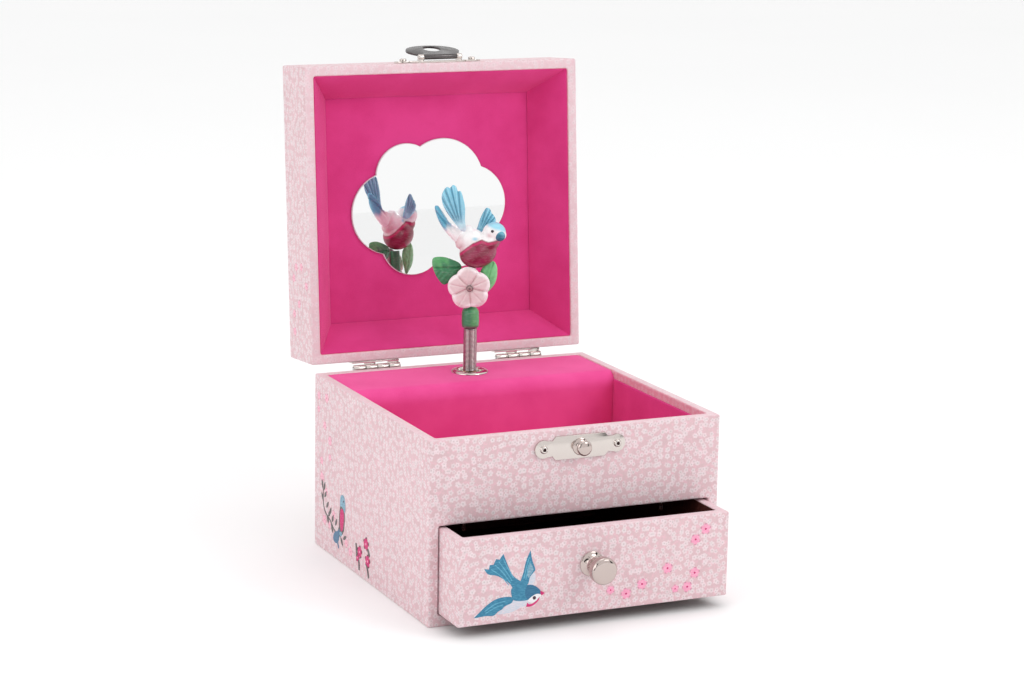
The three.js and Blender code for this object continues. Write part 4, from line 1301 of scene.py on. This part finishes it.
def add_leaves():
    def veined(root, tip, depth):
        root, tip = Vector(root), Vector(tip)
        along = (tip - root).normalized()
        side = Vector((-along.y, along.x))

        def relief(x, z, _):
            p = Vector((x, z)) - root
            a, b = p.dot(along), p.dot(side)
            rib = math.exp(-(b / 0.35) ** 2)
            vein = 0.5 + 0.5 * math.cos(2 * math.pi * (a - abs(b) * 0.8) / 2.3)
            return -depth * rib - 0.22 * depth * vein
        return relief

    left = [(-2.8, 113.6), (-4.4, 110.9), (-7.2, 108.6), (-9.9, 107.4), (-12.4, 110.0), (-14.1, 113.6),
            (-14.6, 116.6), (-13.8, 118.4), (-10.2, 118.7), (-6.4, 117.6), (-3.4, 116.0)]
    leaf = pebble("leaf_left", left, 0.5, 1.0, RESIN, veined((-3, 114.4), (-13, 114.2), 0.5),
                  lean=lambda x, z: 0.05 * (x + 3))
    painted(leaf, lambda x, y, z, n: blend_colour(
        LEAF_DARK, LEAF_MID, 0.35 * math.sin(1.7 * x + z) + (z - 114.5) / 4 + (-9 - x) / 6))
    on_figure(leaf, "green_paint", move=(-1.1, 0, -0.7))
    right = [(6.0, 113.4), (8.4, 115.6), (10.9, 116.8), (12.3, 114.6), (12.4, 110.8), (11.4, 107.4),
             (9.2, 104.6), (7.2, 103.2), (6.4, 106.6), (5.6, 110.0)]
    leaf = pebble("leaf_right", right, 0.7, 0.9, RESIN, veined((7.4, 104.4), (10.6, 116), 0.45))
    painted(leaf, lambda x, y, z, n: blend_colour(
        srgb(112, 196, 128), LEAF_LIGHT, 0.5 + 0.5 * math.sin(1.9 * x - z) + (x - 9) / 5))
    on_figure(leaf, "green_paint", move=(-1.9, 0, -0.3))
    profile = rounded([(2.95, 89.3), (3.35, 89.8), (3.5, 91.2), (3.5, 94.0), (3.3, 96.2), (2.5, 97.4),
                       (2.1, 98.6), (2.05, 104), (2.0, 113.4)], 6)
    stem = lathe("stem_collar", [(0, 89.3)] + profile + [(0, 113.4)], RESIN, (0, 0, 0), (0, 0, 1), 48)
    painted(stem, lambda x, y, z, n: blend_colour(
        srgb(96, 92, 88), blend_colour(LEAF_DARK, LEAF_MID, (x - 0.4 - 0.3 * y) / 2.4), (z - 89.9) / 0.9))
    on_figure(stem, "green_paint", "stem_and_leaves")


def add_figure():
    add_wings()
    add_tail()
    add_bird()
    add_flower()
    add_leaves()


# ---- Prints ---------------------------------------------------------------------------------
INKS = {
    "teal": ink("ink_teal", srgb(58, 124, 156), srgb(74, 144, 174)),
    "teal_light": ink("ink_teal_light", srgb(92, 164, 190), srgb(112, 180, 204)),
    "belly": ink("ink_belly", srgb(202, 208, 220), srgb(222, 214, 222)),
    "teal_dark": ink("ink_teal_dark", srgb(54, 108, 142), srgb(64, 120, 152)),
    "slate_dark": ink("ink_slate_dark", srgb(84, 118, 148), srgb(98, 132, 160)),
    "slate": ink("ink_slate", srgb(118, 158, 180), srgb(150, 184, 200)),
    "white": ink("ink_white", srgb(232, 230, 234), srgb(244, 240, 242)),
    "magenta": ink("ink_magenta", srgb(200, 44, 108), srgb(214, 70, 130)),
    "pink": ink("ink_pink", srgb(240, 160, 190), srgb(246, 176, 202)),
    "pink_grey": ink("ink_pink_grey", srgb(208, 148, 164), srgb(218, 164, 178)),
    "pale": ink("ink_pale", srgb(240, 176, 196), srgb(244, 190, 206)),
    "dark": ink("ink_dark", srgb(72, 52, 62), srgb(96, 74, 82)),
    "leaf": ink("ink_leaf", srgb(92, 88, 88), srgb(120, 116, 114)),
}


class Print:
    """A motif built from flat shapes of ink, each a hair above the last, on a plane of the box."""

    def __init__(self, name, plane):
        self.name, self.plane = name, plane
        self.verts, self.faces, self.indices = [], [], []
        self.inks = []

    def shape(self, points, colour, level=0, smooth=6, sharp=()):
        ring = loop_curve(points, len(points) * smooth, sharp) if smooth else [Vector(p) for p in points]
        if colour not in self.inks:
            self.inks.append(colour)
        first, n = len(self.verts), len(ring)
        top = 0.045 + 0.02 * level + 0.0007 * len(self.faces) ** 0.5
        for height in (0.0, top):
            self.verts += [tuple(self.plane(p.x, p.y, height)) for p in ring]
        self.faces.append(tuple(first + n + i for i in range(n)))
        self.faces.append(tuple(first + n - 1 - i for i in range(n)))
        for i in range(n):
            j = (i + 1) % n
            self.faces.append((first + i, first + j, first + n + j, first + n + i))
        self.indices += [self.inks.index(colour)] * (n + 2)
        return self

    def dot(self, x, y, r, colour, level=0, stretch=1.0, turn=0.0):
        c, s = math.cos(turn), math.sin(turn)
        ring = []
        for i in range(14):
            t = 2 * math.pi * i / 14
            a, b = r * math.cos(t), r * stretch * math.sin(t)
            ring.append((x + a * c - b * s, y + a * s + b * c))
        return self.shape(ring, colour, level, smooth=0)

    def blossom(self, x, y, r, petal, tip=None, heart=None, turn=0.3, level=0):
        for k in range(5):
            t = turn + 2 * math.pi * k / 5
            d, e = (math.cos(t), math.sin(t)), (-math.sin(t), math.cos(t))
            pts = [(0.05, 0), (0.45, -0.34), (0.86, -0.27), (0.78, 0.0), (0.86, 0.27), (0.45, 0.34)]
            self.shape([(x + r * (a * d[0] + b * e[0]), y + r * (a * d[1] + b * e[1])) for a, b in pts],
                       petal, level, 4)
            if tip:
                at = (x + r * 0.84 * d[0], y + r * 0.84 * d[1])
                self.dot(*at, r * 0.13, tip, level + 1, 1.5, t)
        if heart:
            self.dot(x, y, r * 0.17, heart, level + 2)
        return self

    def stroke(self, points, width, colour, level=0):
        pts = [Vector(p) for p in points]
        left, right = [], []
        for i, p in enumerate(pts):
            d = (pts[min(i + 1, len(pts) - 1)] - pts[max(i - 1, 0)]).normalized()
            w = width * (0.6 + 0.4 * math.sin(math.pi * (i + 0.5) / len(pts))) / 2
            left.append(p + Vector((-d.y, d.x)) * w)
            right.append(p - Vector((-d.y, d.x)) * w)
        n = len(pts)
        return self.shape(left + right[::-1], colour, level, 4, sharp=(0, n - 1, n, 2 * n - 1))

    def done(self, body, lid=False):
        o = mesh_object(self.name, self.verts, self.faces, [INKS[c] for c in self.inks], self.indices,
                        smooth=False)
        with editing(o.data) as bm:
            bmesh.ops.triangulate(bm, faces=[f for f in bm.faces if len(f.verts) > 4])
            bmesh.ops.recalc_face_normals(bm, faces=bm.faces)
        return place(o, body, "printed_paper", lid=lid)


def add_drawer_print():
    """A flying swallow at the left of the drawer front and a trail of blossoms at its right."""
    p = Print("drawer_print", lambda x, z, h: (x, DRAWER_FRONT_Y - h, z))

    tail = [(-29.4, 18.3), (-34.1, 22.7), (-37.8, 31.0), (-39.3, 29.0), (-40.7, 29.3), (-41.7, 27.3),
            (-43.2, 27.3), (-43.5, 25.7), (-45.3, 26.0), (-43.8, 23.9), (-39.6, 22.6), (-34.6, 18.8),
            (-32.6, 14.0)]
    wing_low = [(-33.6, 13.9), (-37.0, 14.5), (-40.6, 14.0), (-44.0, 12.2), (-47.2, 9.6), (-49.3, 7.8),
                (-47.7, 7.9), (-44.5, 8.1), (-41.4, 7.9), (-39.6, 9.2), (-38.2, 9.8), (-36.8, 11.0),
                (-34.2, 12.0)]
    wing_high = [(-30.8, 18.8), (-29.6, 23.2), (-28.6, 27.4), (-26.9, 31.2), (-26.2, 27.5), (-24.9, 23.9),
                 (-25.6, 22.6), (-27.0, 21.0), (-27.9, 18.2)]
    p.shape([(-39.8, 8.2), (-38.0, 9.8), (-34.5, 12.2), (-32.0, 13.0), (-27.3, 12.8), (-25.6, 11.7),
             (-28.2, 10.4), (-31.5, 9.3), (-35.0, 8.3)], "belly", 0, 5)
    p.shape([(-27.6, 19.0), (-26.9, 21.0), (-25.2, 22.6), (-24.7, 20.6), (-25.3, 18.4),
             (-26.6, 17.6)], "belly", 0, 5)
    p.shape(tail, "teal", 1, 5, sharp=(2, 3, 4, 5, 6, 7, 8))
    p.shape(wing_low, "teal", 1, 5, sharp=(5,))
    p.shape(wing_high, "teal", 1, 5, sharp=(3,))
    p.shape([(-27.3, 26.5), (-25.7, 24.2), (-26.1, 22.8), (-27.6, 20.9), (-28.3, 23.2)], "slate", 2, 5)
    p.shape([(-34.4, 17.2), (-31.6, 17.8), (-28.6, 18.1), (-26.0, 17.8), (-23.2, 16.0), (-22.3, 14.2),
             (-25.0, 13.3), (-28.2, 12.3), (-32.0, 12.5), (-33.8, 13.4)], "teal", 2, 5)
    p.shape([(-28.0, 17.9), (-25.4, 17.7), (-23.1, 16.0), (-22.3, 14.2), (-24.8, 13.3), (-27.6, 12.5),
             (-28.9, 15.0)], "teal_dark", 3, 5)
    p.shape([(-27.6, 12.0), (-26.6, 13.2), (-24.6, 14.2), (-22.8, 14.1), (-22.5, 13.2), (-24.0, 11.9),
             (-26.0, 11.1)], "white", 4, 5)
    p.shape([(-27.9, 11.4), (-27.0, 10.6), (-25.4, 10.9), (-24.0, 12.0), (-22.9, 13.2), (-23.5, 11.6),
             (-25.2, 10.2), (-26.9, 9.7), (-28.3, 9.8)], "magenta", 5, 5, sharp=(0, 4, 8))
    p.shape([(-22.6, 15.2), (-20.9, 14.3), (-22.2, 13.6)], "magenta", 5, 5, sharp=(1,))
    p.dot(-25.1, 12.9, 0.68, "dark", 6)
    feathers = [((-42.6, 25.6), (-38.6, 22.6), (-35.4, 18.8)),
                ((-41.2, 27.2), (-38.0, 24.0), (-34.8, 19.6)),
                ((-39.6, 28.2), (-37.2, 25.0), (-34.2, 20.4)),
                ((-37.9, 29.2), (-36.3, 26.0), (-33.6, 21.4)),
                ((-36.8, 12.9), (-40.8, 12.2), (-45.0, 9.9)),
                ((-37.6, 11.6), (-40.8, 10.9), (-44.6, 9.1)),
                ((-29.4, 20.6), (-28.6, 24.6), (-27.4, 28.6)),
                ((-28.7, 20.2), (-27.9, 23.8), (-27.0, 27.0))]
    for feather in feathers:
        p.stroke(feather, 0.34, "teal_light", 3)
    for x, z, r, turn in ((45.7, 31.9, 2.4, 0.3), (41.5, 28.2, 2.35, 0.9), (29.9, 18.2, 2.4, 0.5),
                          (41.5, 15.2, 2.4, 0.2), (38.5, 10.0, 2.35, 0.7), (33.4, 9.8, 1.75, 0.4),
                          (19.3, 13.2, 2.4, 0.1), (12.7, 10.2, 2.4, 0.55), (6.2, 12.3, 1.9, 0.8)):
        p.blossom(x, z, r, "pink", "pink_grey", "magenta", turn)
    p.done("drawer")


def add_side_print():
    """A perched bird on a leafy branch, magenta flowers and pale blossoms on the left side."""
    p = Print("side_print", lambda y, z, h: (-HALF - h, y, z))

    for i, (y, z) in enumerate(((55.0, 62.9), (46.3, 63.7), (55.2, 57.4), (48.3, 52.0), (42.5, 47.0),
                                (42.3, 40.2), (51.7, 36.8), (51.3, 30.2), (46.3, 25.2), (37.9, 17.7),
                                (48.4, 13.0), (42.8, 12.2), (23.8, 9.8), (19.2, 7.5))):
        p.blossom(y, z, 1.9 + 0.35 * math.sin(i * 2.1), "pale", "pink_grey", "pink_grey", i * 0.7)
    branch = [(50.4, 26.9), (49.7, 24.2), (49.5, 19.2), (47.2, 16.3), (41.7, 14.3), (36.7, 11.4),
              (30.0, 10.8)]
    p.stroke(branch, 0.7, "leaf", 1)
    leaves = ((48.4, 26.9, 110), (47.2, 23.8, 130), (50.6, 22.0, 60), (45.0, 20.0, 130), (41.7, 18.2, 120),
              (42.8, 16.9, 130), (38.9, 15.9, 120), (35.2, 15.3, 120), (44.5, 14.1, 60), (32.2, 12.7, 110),
              (28.4, 13.0, 130), (25.6, 11.4, 150), (28.9, 9.1, 230), (50.8, 27.4, 80), (39.6, 11.6, 60))
    for y, z, turn in leaves:
        t = math.radians(turn)
        d, e = Vector((math.cos(t), math.sin(t))), Vector((-math.sin(t), math.cos(t)))
        p.shape([tuple(Vector((y, z)) + d * a + e * b) for a, b in
                 ((-1.9, 0), (-0.5, 0.72), (0.9, 0.6), (2.1, 0), (0.9, -0.6), (-0.5, -0.72))],
                "leaf", 2, 4, sharp=(0, 3))
    p.shape([(30.7, 25.0), (29.8, 27.7), (27.3, 28.3), (25.7, 26.8), (25.0, 23.8), (26.0, 21.3),
             (28.3, 21.8), (30.3, 22.3)], "slate", 3, 5)
    p.shape([(31.0, 21.8), (30.0, 23.3), (27.3, 23.0), (25.8, 21.0), (26.0, 16.7), (27.0, 13.5),
             (29.5, 12.2), (31.5, 13.5), (31.8, 18.0)], "leaf", 3, 5)
    p.shape([(30.0, 21.8), (27.7, 22.5), (26.3, 20.7), (26.7, 16.8), (27.7, 14.0), (29.8, 13.5),
             (30.7, 17.7)], "magenta", 4, 5)
    p.shape([(30.7, 12.7), (28.3, 12.7), (29.5, 11.0), (31.3, 11.3)], "slate", 3, 4)
    p.shape([(31.2, 13.5), (33.3, 12.3), (36.7, 10.8), (38.2, 8.1), (36.2, 6.8), (33.5, 7.3), (31.8, 9.8)],
            "slate_dark", 4, 5)
    p.stroke([(34.4, 8.2), (33.2, 7.2), (32.2, 5.4)], 0.9, "slate_dark", 4)
    p.dot(26.8, 26.0, 0.42, "dark", 5)
    for y, z, r in ((9.2, 10.2, 2.7), (2.5, 15.2, 2.9), (0.8, 8.7, 2.9), (11.3, 7.3, 2.0)):
        p.blossom(y, z, r, "magenta", "dark", "pink", 0.4, 1)
    for stem in (((13.3, 12.7), (12.5, 10.2), (12.2, 7.7)), ((1.7, 6.8), (0.4, 4.5), (-0.5, 2.2)),
                 ((0.7, 13.5), (-0.5, 12.2), (-1.3, 11.0)), ((10.2, 6.8), (9.8, 4.8), (9.7, 2.7))):
        p.stroke(stem, 1.4, "leaf", 3)
    p.done("base")
    lid = Print("lid_side_print", lambda y, z, h: (-HALF - h, y, z))
    for i, (depth, y) in enumerate(((10.5, 21.5), (16.5, 21), (7.5, 26.2), (22, 28.3), (13, 36.5), (7, 41),
                                    (7, 48.3))):
        lid.blossom(y, LID_TOP - depth, 1.9, "pale", "pink_grey", "pink_grey", i * 0.8)
    lid.done("lid", lid=True)


# ---- What stays as CAD ----------------------------------------------------------------------
def finish_cad_nodes():
    """Materials for the nodes that still show: the shelf and the works under the cover."""
    looks = {"tray_shelf": BOARD_DARK, "bedplate": STEEL, "comb": STEEL, "spring_housing": BRASS,
             "mainspring": STEEL, "great_wheel": BRASS, "drive_spindle": BRASS, "music_cylinder": BRASS,
             "governor_fan": BRASS, "stop_wire": STEEL}
    for name, node in frame["nodes"].items():
        if not node.hide_render:
            node.data.materials.clear()
            node.data.materials.append(looks.get(name, NICKEL))


add_camera()
add_studio()
add_base_shell()
add_lid_shell()
add_drawer_shell()
add_tray()
add_movement_cover()
add_lid_lining()
add_mirror()
add_metalwork()
add_spring()
add_figure()
add_drawer_print()
add_side_print()
finish_cad_nodes()
